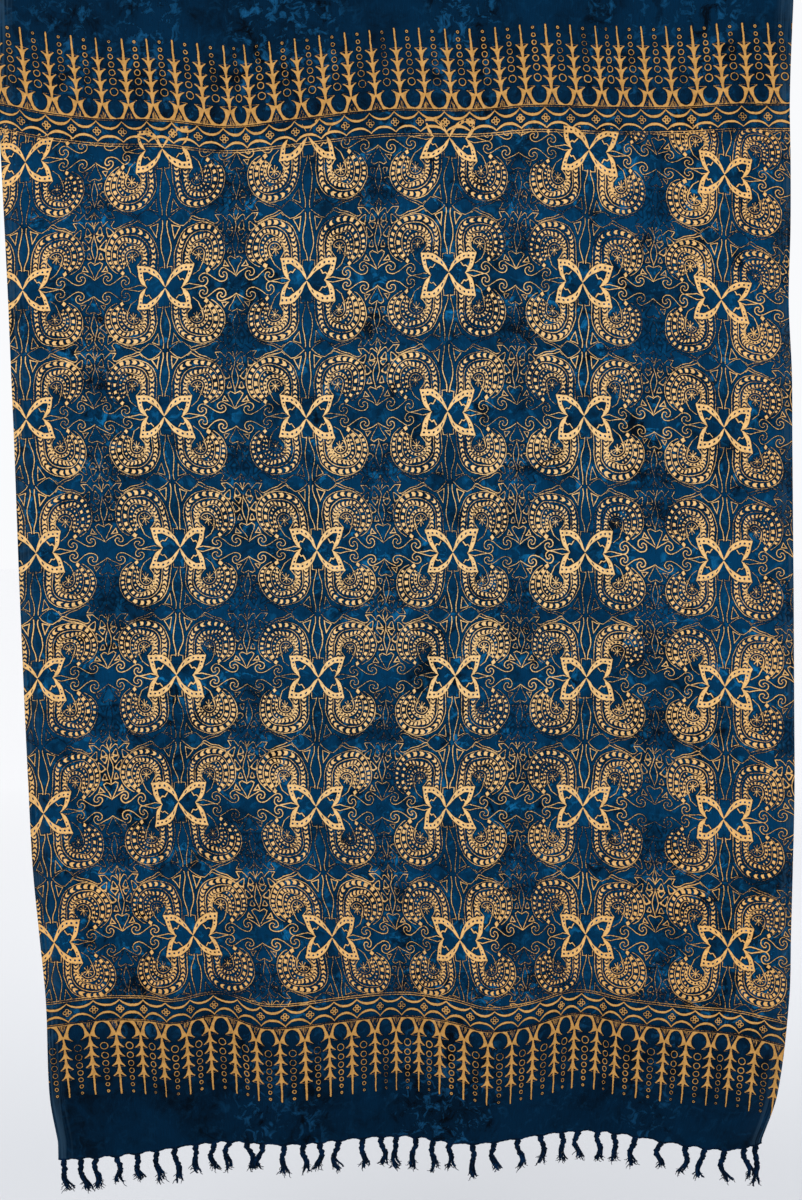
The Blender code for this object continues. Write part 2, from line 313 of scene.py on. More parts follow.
def stampPlaces(flat):
    # turns a place on the cloth into stamps across and down: whole numbers are stamp middles
    middles = np.array(printPlace["stamps"]) / 1000
    rows, columns = middles.shape[:2]
    pitch = np.array(printPlace["stampPitch"]) / 1000
    found = (flat - middles[0, 0]) / pitch
    for _ in range(12):
        i = np.clip(np.floor(found[..., 1]).astype(int), 0, rows - 2)
        j = np.clip(np.floor(found[..., 0]).astype(int), 0, columns - 2)
        u, v = (found[..., 0] - j)[..., None], (found[..., 1] - i)[..., None]
        top = middles[i, j] * (1 - u) + middles[i, j + 1] * u
        low = middles[i + 1, j] * (1 - u) + middles[i + 1, j + 1] * u
        found = found + (flat - top * (1 - v) - low * v) / pitch
    return found


def spikePlaces(flat, end, upwards):
    # turns a place on the cloth into spikes across and mm out from the border's base line
    spikes, (leanLeft, leanRight) = printPlace[end + "Spikes"], printPlace[end + "Lean"]
    across = flat[..., 0] * 1000
    height = (flat[..., 1] * 1000 - smoothCurve(printPlace[end + "Base"], across)) * upwards
    edgeShare = np.clip((across - spikes[0]) / (spikes[-1] - spikes[0]), -0.1, 1.1)
    leanHere = leanLeft + (leanRight - leanLeft) * edgeShare
    x = across - leanHere * (printPlace[end + "MeasuredAt"] - height / printPlace["spikeLength"])
    number = np.interp(x, spikes, np.arange(len(spikes)))
    pitchLeft, pitchRight = printPlace["edgePitches"]
    number = number + np.minimum(x - spikes[0], 0) / pitchLeft
    number = number + np.maximum(x - spikes[-1], 0) / pitchRight
    return number, height


# Pattern elements. Each is a height over the cloth: above 0 it prints, and the number is how deep
# inside the gold. Their first value, add, is the material's own function that adds a node
def readChart(add, value, points, straight=False):
    # a curve drawn through a small chart of points
    made = add("FloatCurve", None, value)
    mapping = made.node.mapping
    mapping.use_clip = False
    line = mapping.curves[0]
    line.points[0].location = points[0]
    line.points[1].location = points[-1]
    for x, y in points[1:-1]:
        line.points.new(x, y)
    for point in line.points:
        point.handle_type = "VECTOR" if straight else "AUTO_CLAMPED"
    mapping.update()
    return made


def largest(add, *layers):
    top = layers[0]
    for layer in layers[1:]:
        top = add("Math MAXIMUM", top, layer)
    return top


def smallest(add, *layers):
    top = layers[0]
    for layer in layers[1:]:
        top = add("Math MINIMUM", top, layer)
    return top


def lineWhere(add, a, b, halfWidth):
    # a drawn line where a equals b
    gap = add("Math ABSOLUTE", add("Math SUBTRACT", a, b))
    return add("Math SUBTRACT", halfWidth, gap)


def between(add, value, low, high):
    # keeps a layer to one stretch of value
    return lineWhere(add, value, (low + high) / 2, (high - low) / 2)


def fromMiddle(add, number):
    # how far a number is from the middle of its whole-number cell
    cell = add("Math WRAP", number, 1.0, 0.0)
    return add("Math ABSOLUTE", add("Math SUBTRACT", cell, 0.5))


def distance(add, x, y):
    return add("VectorMath LENGTH", add("CombineXYZ", x, y), out=1)


def degreesOf(add, x, y):
    return add("Math DEGREES", add("Math ARCTAN2", y, x))


def dotAt(add, place, centre, radius):
    gap = add("VectorMath DISTANCE", place, (*centre, 0), out=1)
    return add("Math SUBTRACT", radius, gap)


def stroke(add, place, start, end, halfWidth):
    # a short straight pen stroke
    run = Vector((end[0] - start[0], end[1] - start[1], 0))
    arm = add("VectorMath SUBTRACT", place, (*start, 0))
    share = add("VectorMath DOT_PRODUCT", arm, run / run.length_squared, out=1)
    foot = add("VectorMath SCALE", tuple(run), None, None, add("Clamp", share, 0.0, 1.0))
    gap = add("VectorMath DISTANCE", arm, foot, out=1)
    return add("Math SUBTRACT", halfWidth, gap)


def outlinedTriangle(add, place, corners, halfWidth):
    middle = sum((Vector(c) for c in corners), Vector((0, 0))) / 3
    sides = []
    for a, b in zip(corners, corners[1:] + corners[:1]):
        inward = Vector((a[1] - b[1], b[0] - a[0])).normalized()
        if inward.dot(middle - Vector(a)) < 0:
            inward.negate()
        across = add("VectorMath DOT_PRODUCT", place, (*inward, 0), out=1)
        sides.append(add("Math SUBTRACT", across, inward.dot(Vector(a))))
    return lineWhere(add, smallest(add, *sides), halfWidth, halfWidth)


def outlinedLeaf(add, place, centre, degrees, halfLong, halfWide, hollow):
    # a drop-shaped cell, gold from its rim in to the hollow
    turn = (0, 0, math.radians(degrees))
    turned = add("Mapping", place, (*centre, 0), turn, (halfLong, halfWide, 1), vector_type="TEXTURE")
    x, y = add("SeparateXYZ", turned).node.outputs[:2]
    taper = add("Math MULTIPLY_ADD", x, stampChart["leafTaper"], 1.0)
    rim = distance(add, x, add("Math MULTIPLY", y, taper))
    return add("Math MULTIPLY", lineWhere(add, rim, (1 + hollow) / 2, (1 - hollow) / 2), halfWide)


# A quarter of the stamp, charted in units of half its width from its middle; the other three
# quarters are its mirror images
stampChart = {
    "petalTop": (
        (0, 0.02), (0.051, 0.139), (0.095, 0.21), (0.13, 0.249), (0.205, 0.30), (0.25, 0.315),
        (0.40, 0.318), (0.412, 0.305), (0.424, -1), (1.1, -1),
    ),
    "petalRight": (
        (0, 0.24), (0.022, 0.275), (0.066, 0.326), (0.124, 0.358), (0.168, 0.372), (0.24, 0.388),
        (0.33, 0.406), (1, 0.406),
    ),
    "petalLow": (
        (0, 0), (0.047, 0.052), (0.09, 0.112), (0.135, 0.152), (0.175, 0.178), (0.21, 0.20),
        (0.252, 0.226), (0.31, 0.232), (0.316, 2), (1.1, 2),
    ),
    "petalInner": (
        (0, 0.235), (0.037, 0.256), (0.088, 0.274), (0.1025, 0.284), (0.168, 0.306), (0.229, 0.318),
        (0.236, -1), (1, -1),
    ),
    "hooks": (
        ((0.270, 0.095), (0.247, 0.117)), ((0.247, 0.117), (0.213, 0.105)),
        ((0.213, 0.105), (0.180, 0.155)),
    ),
    "hookHalf": 0.008,
    # pitch, first middle, start, depth under the petal's top and radius of the row of dots
    "petalDots": (0.0655, 0.093, 0.07, 0.05, 0.0175),
    "sideDots": (((0.343, 0.207), 0.0155), ((0.330, 0.152), 0.011)),
    "cutSlope": 20.0,  # how steeply the dots cut into the gold
    "curlMiddle": (0.468, 0.447),
    # of each row of blocks: its pitch down the columns, its first and last degree, and the share
    # of the pitch that a block fills
    "curlRows": {
        "outer": (0.0615, -33, 999, 0.53),
        "big": (0.057, -70, 999, 0.55),
        "teeth": (0.057, -58, 64, 0.40),
    },
    "archBend": (50.0, 150.0, 0.48),  # degrees where the blocks start and end bending, and how far
    "archSteepness": 32.0,
    "blockSlope": 0.065,  # how fast the gold deepens into a block, over one pitch
    "perDegree": 0.006,  # and how fast it thins past the degree where a row ends
    "lineEnd": -50,  # degrees
    # the curl's lines and the middle, half width and block number of its rows, against degrees
    "outerLine": (
        (-70, 0.28), (-47, 0.32), (-38, 0.333), (-21, 0.36), (-4, 0.38), (11, 0.393), (28, 0.405),
        (45, 0.413), (63, 0.412), (80, 0.412), (101, 0.397), (119, 0.394), (137, 0.379), (158, 0.357),
        (180, 0.353),
    ),
    "innerLine": (
        (-70, 0.27), (-30, 0.287), (-11, 0.297), (8, 0.302), (28, 0.313), (43, 0.32), (58, 0.322),
        (76, 0.302), (96, 0.287), (115, 0.276), (137, 0.26), (159, 0.245), (180, 0.236),
    ),
    "rowLine": (
        (-70, 0.235), (-28, 0.215), (4, 0.211), (31, 0.226), (54, 0.236), (70, 0.215), (90, 0.178),
        (120, 0.168), (150, 0.153), (180, 0.132),
    ),
    "outerRow": (
        (-45, 0.30), (-26, 0.318), (-14, 0.331), (-2, 0.342), (22, 0.354), (36, 0.362), (49, 0.374),
        (65, 0.371), (80, 0.358), (95, 0.354), (113, 0.342), (131, 0.333), (144, 0.318), (154, 0.303),
        (167, 0.29), (180, 0.287),
    ),
    "outerHalf": (
        (-45, 0.016), (0, 0.020), (40, 0.024), (80, 0.032), (100, 0.033), (130, 0.029), (180, 0.030),
    ),
    "outerBlocks": (
        (-45, -1.6), (-26, 0), (-14, 1), (-2.4, 2), (9.5, 3), (22, 4), (36, 5), (49, 6), (64.6, 7),
        (79.6, 8), (95, 9), (113, 10), (131, 11), (144, 12), (154, 13), (167, 14), (180, 15),
    ),
    "bigRow": (
        (-70, 0.275), (-60, 0.268), (-39, 0.246), (-17, 0.251), (7, 0.256), (29, 0.268), (48, 0.280),
        (60, 0.276), (71, 0.252), (83, 0.226), (100, 0.216), (117, 0.213), (131, 0.203), (143, 0.194),
        (158, 0.180), (180, 0.172),
    ),
    "bigHalf": ((-70, 0.027), (0, 0.022), (50, 0.022), (85, 0.028), (130, 0.028), (180, 0.030)),
    "bigBlocks": (
        (-80, -1), (-60, 0), (-39, 1), (-17, 2), (6.6, 3), (29.5, 4), (48, 5), (60, 6), (71, 7),
        (83, 8), (100, 9), (117, 10), (131, 11), (143, 12), (158, 13), (175, 14), (180, 14.35),
    ),
    "teethHalf": 0.013,
    "teethRow": (
        (-60, 0.205), (-50, 0.193), (-31, 0.179), (-13, 0.174), (8, 0.176), (30, 0.183), (47, 0.192),
        (70, 0.20),
    ),
    "teethBlocks": (
        (-70, -1), (-50, 0), (-31, 1), (-13, 2), (7.5, 3), (30, 4), (47, 5), (63, 6), (80, 7),
    ),
    "starMiddle": (0.462, 0.445),
    "starDrawn": 0.72,  # its lower half is drawn out by one over this
    "starRings": (0.133, 0.0185, 0.084),  # radius and half width of the dotted ring, and inner radius
    "starHoles": (21.6, 0.29, 0.0494, 0.0150),  # degrees apart, shift, length apart and radius
    "starOpening": ((0.60, 0.80), -0.05),  # which way the rings reach, and where they end
    "starSpokes": (8, 0.062, 0.00403),  # how many, their reach and half width
    "starHub": 0.015,
    "ear": ((0.085, 0.885), (0.212, 0.835), (0.115, 0.680)),
    "leafTriangle": ((0.852, 0.332), (0.926, 0.236), (0.822, 0.244)),
    "triangleHalf": 0.0070,
    "leafTaper": 0.75,
    # middle, degrees, half length, half width, hollow
    "flameCells": (
        ((0.800, 0.795), 60, 0.068, 0.037, 0.78),
        ((0.928, 0.812), 100, 0.056, 0.031, 0.76),
        ((0.922, 0.722), 150, 0.052, 0.033, 0.76),
        ((0.876, 0.622), 118, 0.078, 0.032, 0.76),
        ((0.927, 0.468), 88, 0.048, 0.026, 0.70),
    ),
    "wavyLine": (
        (0.28, 0.018), (0.329, 0.021), (0.40, 0.036), (0.49, 0.062), (0.578, 0.072), (0.695, 0.058),
        (0.783, 0.040), (0.871, 0.028), (0.944, 0.036), (0.98, 0.050),
    ),
    "wavyEnds": (0.28, 0.935),
    "wavyHalf": 0.0062,
    "wavyFade": 0.0022,  # how much thinner it prints in the lower half
    "crown": (((0.018, 0.30), (0.082, 0.293)), ((0.082, 0.293), (0.084, 0.21))),
    "topLine": (
        (0.048, 0.972), (0.09, 0.925), (0.13, 0.895), (0.19, 0.855), (0.25, 0.842), (0.327, 0.902),
        (0.376, 0.962), (0.409, 0.962), (0.483, 0.917), (0.595, 0.888), (0.655, 0.85), (0.707, 0.828),
        (0.745, 0.835), (0.766, 0.86), (0.772, 0.949), (0.804, 0.951), (0.849, 0.91), (0.886, 0.866),
        (0.90, 0.93), (0.93, 0.944), (0.985, 0.89), (1.03, 0.82), (1.1, 0.7),
    ),
    "secondTopLine": (
        (0.33, 0.885), (0.37, 0.93), (0.45, 0.892), (0.55, 0.868), (0.66, 0.825), (0.71, 0.80),
    ),
    "flameTip": (((0.770, 0.87), (0.722, 0.947)), ((0.722, 0.947), (0.780, 0.95))),
    # x against y up the right side
    "flameLine": (
        (0.0, 1.3), (0.11, 1.3), (0.118, 1.013), (0.149, 1.005), (0.231, 0.968), (0.306, 0.923),
        (0.355, 0.905), (0.36, 1.02), (0.41, 1.01), (0.492, 0.983), (0.574, 0.968), (0.649, 0.983),
        (0.74, 1.012), (0.813, 1.027), (0.90, 1.0), (0.96, 0.98),
    ),
    "flameFoot": (((0.905, 0.357), (0.945, 0.383)), ((0.945, 0.383), (1.03, 0.343))),
    "leafLine": ((0.235, 0.0), (0.29, 0.028), (0.356, 0.041), (0.446, 0.0186), (0.546, -0.002)),
    "linkLine": (
        (0.585, 0.170), (0.61, 0.162), (0.647, 0.134), (0.714, 0.082), (0.775, 0.052), (0.81, 0.050),
    ),
    "barbLine": ((0.85, 0.219), (0.871, 0.209), (0.946, 0.1715), (1.02, 0.118)),
    "scrolls": ((0.552, 0.088), (0.822, 0.14), 0.69),  # both middles, and where they part
    "scrollLine": (0.058, 0.052, 0.0052, 0.092),  # pitch, slope, half width and reach
    # x against y: the line from the petal up into the star, and the wedge left of it
    "starStem": ((0.154, 0.395), (0.2237, 0.483), (0.306, 0.52), (0.38, 0.543), (0.46, 0.549)),
    "starWedge": ((0.312, 0.40), (0.35, 0.368), (0.403, 0.334), (0.455, 0.315), (0.53, 0.319)),
    "wedgeStroke": ((0.319, 0.529), (0.42, 0.44)),
    # half widths of the pen lines
    "lineHalf": 0.00558,
    "fineHalf": 0.00372,
    "flameHalf": 0.0062,
    "outlineFade": (0.0032, 0.0008),  # of the half width, more in the lower half and everywhere
}


def drawCurl(add, place, petalGap):
    # the big curl of rows about its middle, with two columns running down its left side
    chart, fine = stampChart, stampChart["fineHalf"]
    arm = add("VectorMath SUBTRACT", place, (*chart["curlMiddle"], 0))
    dx, dy = add("SeparateXYZ", arm).node.outputs[:2]
    # left of the middle the rows turn into columns below it, and right of it they go on round
    rightSide = add("Math GREATER_THAN", dx, 0.0)
    lowest = add("Math MULTIPLY_ADD", rightSide, -9.0, 0.00001)
    dyRound = largest(add, dy, lowest)
    below = add("Math SUBTRACT", dy, dyRound)
    radius, angle = distance(add, dx, dyRound), degreesOf(add, dx, dyRound)
    lines = [
        lineWhere(add, radius, readChart(add, angle, chart[name]), fine)
        for name in ("outerLine", "innerLine", "rowLine")
    ]
    # blocks bend like arches where they run down the columns
    bendStart, bendEnd, mostBend = chart["archBend"]
    bend = add("MapRange", angle, bendStart, bendEnd, 0.0, mostBend)
    layers = []
    for kind, (columnPitch, first, last, share) in chart["curlRows"].items():
        away = add("Math SUBTRACT", radius, readChart(add, angle, chart[kind + "Row"]))
        away = add("Math ABSOLUTE", away)
        half = chart["teethHalf"] if kind == "teeth" else readChart(add, angle, chart[kind + "Half"])
        side = add("Math POWER", add("Math MULTIPLY", away, chart["archSteepness"]), 2.0)
        number = readChart(add, angle, chart[kind + "Blocks"])
        number = add("Math MULTIPLY_ADD", below, 1 / columnPitch, number)
        number = add("Math ADD", number, 0.5)
        arch = add("Math MULTIPLY_ADD", side, bend, number)
        blocks = add("Math SUBTRACT", share / 2, fromMiddle(add, arch))
        blocks = add("Math MULTIPLY", blocks, chart["blockSlope"])
        ends = add("Math MULTIPLY", between(add, angle, first, last), chart["perDegree"])
        layers.append(smallest(add, add("Math SUBTRACT", half, away), blocks, ends))
    thinning = chart["perDegree"]
    lineEnd = add("Math MULTIPLY_ADD", angle, thinning, -chart["lineEnd"] * thinning)
    lines = smallest(add, largest(add, *lines), lineEnd)
    return smallest(add, largest(add, *layers, lines), petalGap)


def drawStar(add, place):
    # the dotted gold ring round a spoked hub at the heart of the curl
    chart, fine = stampChart, stampChart["fineHalf"]
    arm = add("VectorMath SUBTRACT", place, (*chart["starMiddle"], 0))
    dx, dy = add("SeparateXYZ", arm).node.outputs[:2]
    dyRound = largest(add, dy, add("Math MULTIPLY", dy, chart["starDrawn"]))
    radius, angle = distance(add, dx, dyRound), degreesOf(add, dx, dyRound)
    ringRadius, ringHalf, innerRing = chart["starRings"]
    ring = lineWhere(add, radius, ringRadius, ringHalf)
    degrees, shift, length, holeRadius = chart["starHoles"]
    cell = add("Math WRAP", add("Math MULTIPLY_ADD", angle, 1 / degrees, shift), 1.0, 0.0)
    along = add("Math MULTIPLY_ADD", cell, length, -length / 2)
    hole = distance(add, along, add("Math SUBTRACT", radius, ringRadius))
    ring = smallest(add, ring, add("Math SUBTRACT", hole, holeRadius))
    # the rings stay open at their lower left
    (openX, openY), openFrom = chart["starOpening"]
    ringSide = add("VectorMath DOT_PRODUCT", arm, (openX, openY, 0), out=1)
    rings = largest(add, ring, lineWhere(add, radius, innerRing, fine))
    rings = smallest(add, rings, add("Math SUBTRACT", ringSide, openFrom))
    spokes, spokeReach, spokeHalf = chart["starSpokes"]
    spoke = fromMiddle(add, add("Math MULTIPLY_ADD", angle, spokes / 360, 0.5))
    spoke = add("Math MULTIPLY", spoke, radius)
    spoke = add("Math MULTIPLY_ADD", spoke, -2 * math.pi / spokes, spokeHalf)
    spoke = smallest(add, spoke, add("Math SUBTRACT", spokeReach, radius))
    return largest(add, rings, spoke, add("Math SUBTRACT", chart["starHub"], radius))


def drawPetal(add, x, y, place):
    chart = stampChart
    topGap = add("Math SUBTRACT", readChart(add, x, chart["petalTop"]), y)
    rightGap = add("Math SUBTRACT", readChart(add, y, chart["petalRight"]), x)
    lowGap = add("Math SUBTRACT", y, readChart(add, x, chart["petalLow"]))
    innerGap = add("Math SUBTRACT", x, readChart(add, y, chart["petalInner"]))
    petal = smallest(add, topGap, rightGap, largest(add, lowGap, innerGap))
    # the row of blue dots left along its top, and two down its side
    pitch, first, start, depth, dotRadius = chart["petalDots"]
    number = add("Math MULTIPLY_ADD", x, 1 / pitch, 0.5 - first / pitch)
    along = add("Math MULTIPLY_ADD", add("Math WRAP", number, 1.0, 0.0), pitch, -pitch / 2)
    away = distance(add, along, add("Math SUBTRACT", topGap, depth))
    holes = smallest(add, add("Math SUBTRACT", dotRadius, away), add("Math SUBTRACT", x, start))
    for centre, size in chart["sideDots"]:
        holes = largest(add, holes, dotAt(add, place, centre, size))
    cut = add("Math MULTIPLY", largest(add, holes, 0.0), chart["cutSlope"])
    petal = add("Math SUBTRACT", petal, cut)
    for start, end in chart["hooks"]:
        petal = largest(add, petal, stroke(add, place, start, end, chart["hookHalf"]))
    return petal, topGap


def drawScrolls(add, x, place):
    # a pair of two-armed spirals on one wandering line
    first, second, split = stampChart["scrolls"]
    pitch, slope, halfWidth, reach = stampChart["scrollLine"]
    beyond = add("Math GREATER_THAN", x, split)
    step = (second[0] - first[0], second[1] - first[1], 0)
    arm = add("VectorMath SUBTRACT", place, (*first, 0))
    arm = add("VectorMath SUBTRACT", arm, add("VectorMath SCALE", step, None, None, beyond))
    radius = add("VectorMath LENGTH", arm, out=1)
    armX, armY = add("SeparateXYZ", arm).node.outputs[:2]
    turn = add("Math MULTIPLY_ADD", add("Math ARCTAN2", armY, armX), 1 / math.pi, 0.5)
    away = fromMiddle(add, add("Math MULTIPLY_ADD", radius, 1 / pitch, turn))
    spiral = add("Math MULTIPLY_ADD", away, -slope, halfWidth)
    return smallest(add, spiral, add("Math SUBTRACT", reach, radius))


def drawStamp(add, place, lowerHalf):
    # place is in stamp units, folded so that both numbers are positive; lowerHalf is 0 or 1
    chart, thin = stampChart, stampChart["lineHalf"]
    x, y = add("SeparateXYZ", place).node.outputs[:2]
    petal, topGap = drawPetal(add, x, y, place)
    abovePetal = add("Math MULTIPLY", topGap, -1.0)
    layers = [petal, drawCurl(add, place, abovePetal), drawStar(add, place), drawScrolls(add, x, place)]
    wavy = lineWhere(add, x, readChart(add, y, chart["wavyLine"]), chart["wavyHalf"])
    wavy = smallest(add, wavy, between(add, y, *chart["wavyEnds"]))
    layers.append(add("Math MULTIPLY_ADD", lowerHalf, -chart["wavyFade"], wavy))
    outlines = []
    for found, name, along, aside in (
        (layers, "leafLine", x, y),
        (layers, "linkLine", x, y),
        (layers, "barbLine", x, y),
        (layers, "starStem", y, x),
        (layers, "starWedge", y, x),
        (outlines, "topLine", x, y),
        (outlines, "secondTopLine", x, y),
        (outlines, "flameLine", y, x),
    ):
        points = chart[name]
        line = lineWhere(add, aside, readChart(add, along, points, straight=True), thin)
        found.append(smallest(add, line, between(add, along, points[0][0], points[-1][0])))
    for name in ("ear", "leafTriangle"):
        outlines.append(outlinedTriangle(add, place, chart[name], chart["triangleHalf"]))
    for start, end in (*chart["crown"], chart["wedgeStroke"]):
        layers.append(stroke(add, place, start, end, chart["fineHalf"]))
    for start, end in (*chart["flameTip"], *chart["flameFoot"]):
        outlines.append(stroke(add, place, start, end, chart["flameHalf"]))
    for cell in chart["flameCells"]:
        outlines.append(outlinedLeaf(add, place, *cell))
    # the block was pressed less on its lower rim, so the outlines fade there
    lowerFade, fade = chart["outlineFade"]
    faded = add("Math MULTIPLY_ADD", lowerHalf, -lowerFade, -fade)
    return largest(add, *layers, add("Math ADD", largest(add, *outlines), faded))


# One spike of the border and half the gap beside it, charted in mm from the base line
borderChart = {
    "halfPitch": 17.2,
    "stemHalf": 1.7,
    # half width of the spike against height
    "outer": (
        (0, -3), (17, -1), (19, 1.3), (26, 1.7), (29, 2.1), (33.5, 3.6), (36.4, 5.8), (38.4, 8.2),
        (40.2, 10.4), (40.4, 2.0), (43.5, 2.4), (47.2, 4.0), (50.0, 6.1), (52.0, 8.4), (53.9, 10.4),
        (54.1, 1.9), (57.5, 2.3), (61.6, 3.9), (64.4, 5.9), (66.4, 8.1), (68.3, 10.2), (68.5, 1.7),
        (72, 2.2), (76.4, 3.7), (79.1, 5.6), (81.1, 7.7), (83.0, 9.6), (83.2, 1.4), (109, 1.05),
        (110.5, -2), (140, -9),
    ),
    "under": (
        (0, 0), (20.8, 0), (22, 3.2), (24, 7.8), (26, 12.2), (26.2, 0), (36.6, 0), (37.2, 2.4),
        (38.5, 5.2), (40.2, 8.4), (40.4, 0), (50.2, 0), (50.8, 2.4), (52.1, 5.2), (53.9, 8.4),
        (54.1, 0), (64.6, 0), (65.2, 2.4), (66.5, 5.2), (68.3, 8.2), (68.5, 0), (79.3, 0), (79.9, 2.4),
        (81.2, 5.0), (83.0, 7.7), (83.2, 0), (140, 0),
    ),
    "hollow": (10.4, 16.2, 0.74),  # half width, height of its middle, and how its foot is drawn down
    "triangle": (8.0, 18.6),  # half width at the base and height of its tip
    "shoulder": (12.4, 17),  # the arms end above this height beyond this half width
    "armEnds": (0.3, 26.2),
    "streaks": ((60, 0.10, 1), 0.53, 8.0),  # scales, level and slope of the torn streaks
    "streakReach": (1.9, 12.0, 0.5),  # their fall from the spike outwards, their top and their foot
    "ringHalf": 0.52,
    "ringEnds": (29.5, 110),
    # the number, pitch and size of the rings against height
    "ringNumber": (
        (22, -1.0), (37.5, 0), (51.8, 1), (63.3, 2), (74.5, 3), (85, 4), (95, 5), (105, 6), (115, 7),
    ),
    "ringPitch": (
        (22, 14.6), (37.5, 14.8), (51.8, 12.9), (63.3, 11.4), (74.5, 10.9), (85, 10.3), (95, 10),
        (115, 10),
    ),
    "ringRadius": (
        (22, 4.8), (37.5, 4.8), (51.8, 4.2), (63.3, 3.9), (74.5, 3.5), (85, 2.9), (95, 2.4), (105, 1.4),
        (115, 1.0),
    ),
    "bandLines": ((0.8, 0.42), (-1.6, 0.24), (-33.4, 0.42), (-36.4, 0.38)),  # height, half width
    "scallops": ((-23.0, -30.6), (-12.6, -3.2)),  # each from the middle of its arc to its cusp
    "cuspPower": 2.3,
    "arcHalf": (0.8, 1.75),  # how much an arc thins to its cusp, and its half width in the middle
    "flower": (-17.2, 3.2, 2.05, 0.62),  # height, and reach, radius and half width of its rings
}


def drawSpike(add, side, height, under):
    # the barbed spike
    outer = readChart(add, height, borderChart["outer"], straight=True)
    stem = add("Math SUBTRACT", borderChart["stemHalf"], side)
    notch = largest(add, stem, add("Math SUBTRACT", side, under))
    return smallest(add, add("Math SUBTRACT", outer, side), notch)


def drawArms(add, side, height, under):
    # two curved arms round the hollow between the spikes, closed by a dark triangle under each
    chart = borderChart
    wide, middle, drawn = chart["hollow"]
    down = add("Math SUBTRACT", height, middle)
    down = largest(add, down, add("Math MULTIPLY", down, drawn))
    fromHollow = distance(add, add("Math SUBTRACT", side, chart["halfPitch"]), down)
    base, tip = chart["triangle"]
    triangle = add("Math MULTIPLY_ADD", height, -base / tip, base)
    shoulder, shoulderHeight = chart["shoulder"]
    return smallest(
        add,
        add("Math SUBTRACT", fromHollow, wide),
        add("Math SUBTRACT", side, triangle),
        add("Math SUBTRACT", side, under),
        between(add, height, *chart["armEnds"]),
        largest(add, add("Math SUBTRACT", shoulder, side), add("Math SUBTRACT", shoulderHeight, height)),
    )


def drawStreaks(add, spikeMap, side, height):
    # torn streaks under each spike
    scales, level, slope = borderChart["streaks"]
    streak = add("VectorMath MULTIPLY", spikeMap, scales)
    streak = add("TexNoise", streak, None, 1.0, 2.0)
    streaks = add("Math MULTIPLY", add("Math SUBTRACT", streak, level), slope)
    fall, top, foot = borderChart["streakReach"]
    roof = add("Math MULTIPLY_ADD", side, -fall, top)
    streaks = smallest(add, streaks, add("Math SUBTRACT", roof, height))
    return smallest(add, streaks, add("Math SUBTRACT", height, foot))


def drawRings(add, side, height):
    # rings that shrink towards the tips
    chart = borderChart
    across = add("Math SUBTRACT", chart["halfPitch"], side)
    number = readChart(add, height, chart["ringNumber"], straight=True)
    cell = add("Math WRAP", number, 0.5, -0.5)
    up = add("Math MULTIPLY", cell, readChart(add, height, chart["ringPitch"]))
    away = distance(add, across, up)
    rings = lineWhere(add, away, readChart(add, height, chart["ringRadius"]), chart["ringHalf"])
    return smallest(add, rings, between(add, height, *chart["ringEnds"]))


def drawBand(add, bandMap, height):
    # thin double lines, two rows of arcs and small four-ringed flowers
    chart = borderChart
    half = chart["halfPitch"]
    lines = largest(add, *(lineWhere(add, height, *line) for line in chart["bandLines"]))
    cell = add("Math WRAP", add("SeparateXYZ", bandMap), 0.5, -0.5)
    side = add("Math MULTIPLY", add("Math ABSOLUTE", cell), 2 * half)
    cusp = add("Math MULTIPLY_ADD", side, -1 / half, 1.0)
    cusp = add("Math POWER", cusp, chart["cuspPower"])
    thinning, thick = chart["arcHalf"]
    arcHalf = add("Math MULTIPLY_ADD", cusp, -thinning, thick)
    for middle, tip in chart["scallops"]:
        arc = add("Math MULTIPLY_ADD", cusp, tip - middle, middle)
        lines = largest(add, lines, lineWhere(add, height, arc, arcHalf))
    flowerHeight, reach, radius, halfWidth = chart["flower"]
    up = add("Math ABSOLUTE", add("Math SUBTRACT", height, flowerHeight))
    petal = add("CombineXYZ", largest(add, side, up), smallest(add, side, up))
    petal = add("VectorMath DISTANCE", petal, (reach, 0, 0), out=1)
    return largest(add, lines, lineWhere(add, petal, radius, halfWidth))


def drawBorder(add, spikeMap, bandMap):
    number, height = add("SeparateXYZ", spikeMap).node.outputs[:2]
    cell = add("Math WRAP", number, 0.5, -0.5)
    side = add("Math MULTIPLY", add("Math ABSOLUTE", cell), 2 * borderChart["halfPitch"])
    under = readChart(add, height, borderChart["under"], straight=True)
    return largest(
        add,
        drawSpike(add, side, height, under),
        drawArms(add, side, height, under),
        drawStreaks(add, spikeMap, side, height),
        drawRings(add, side, height),
        drawBand(add, bandMap, height),
    )


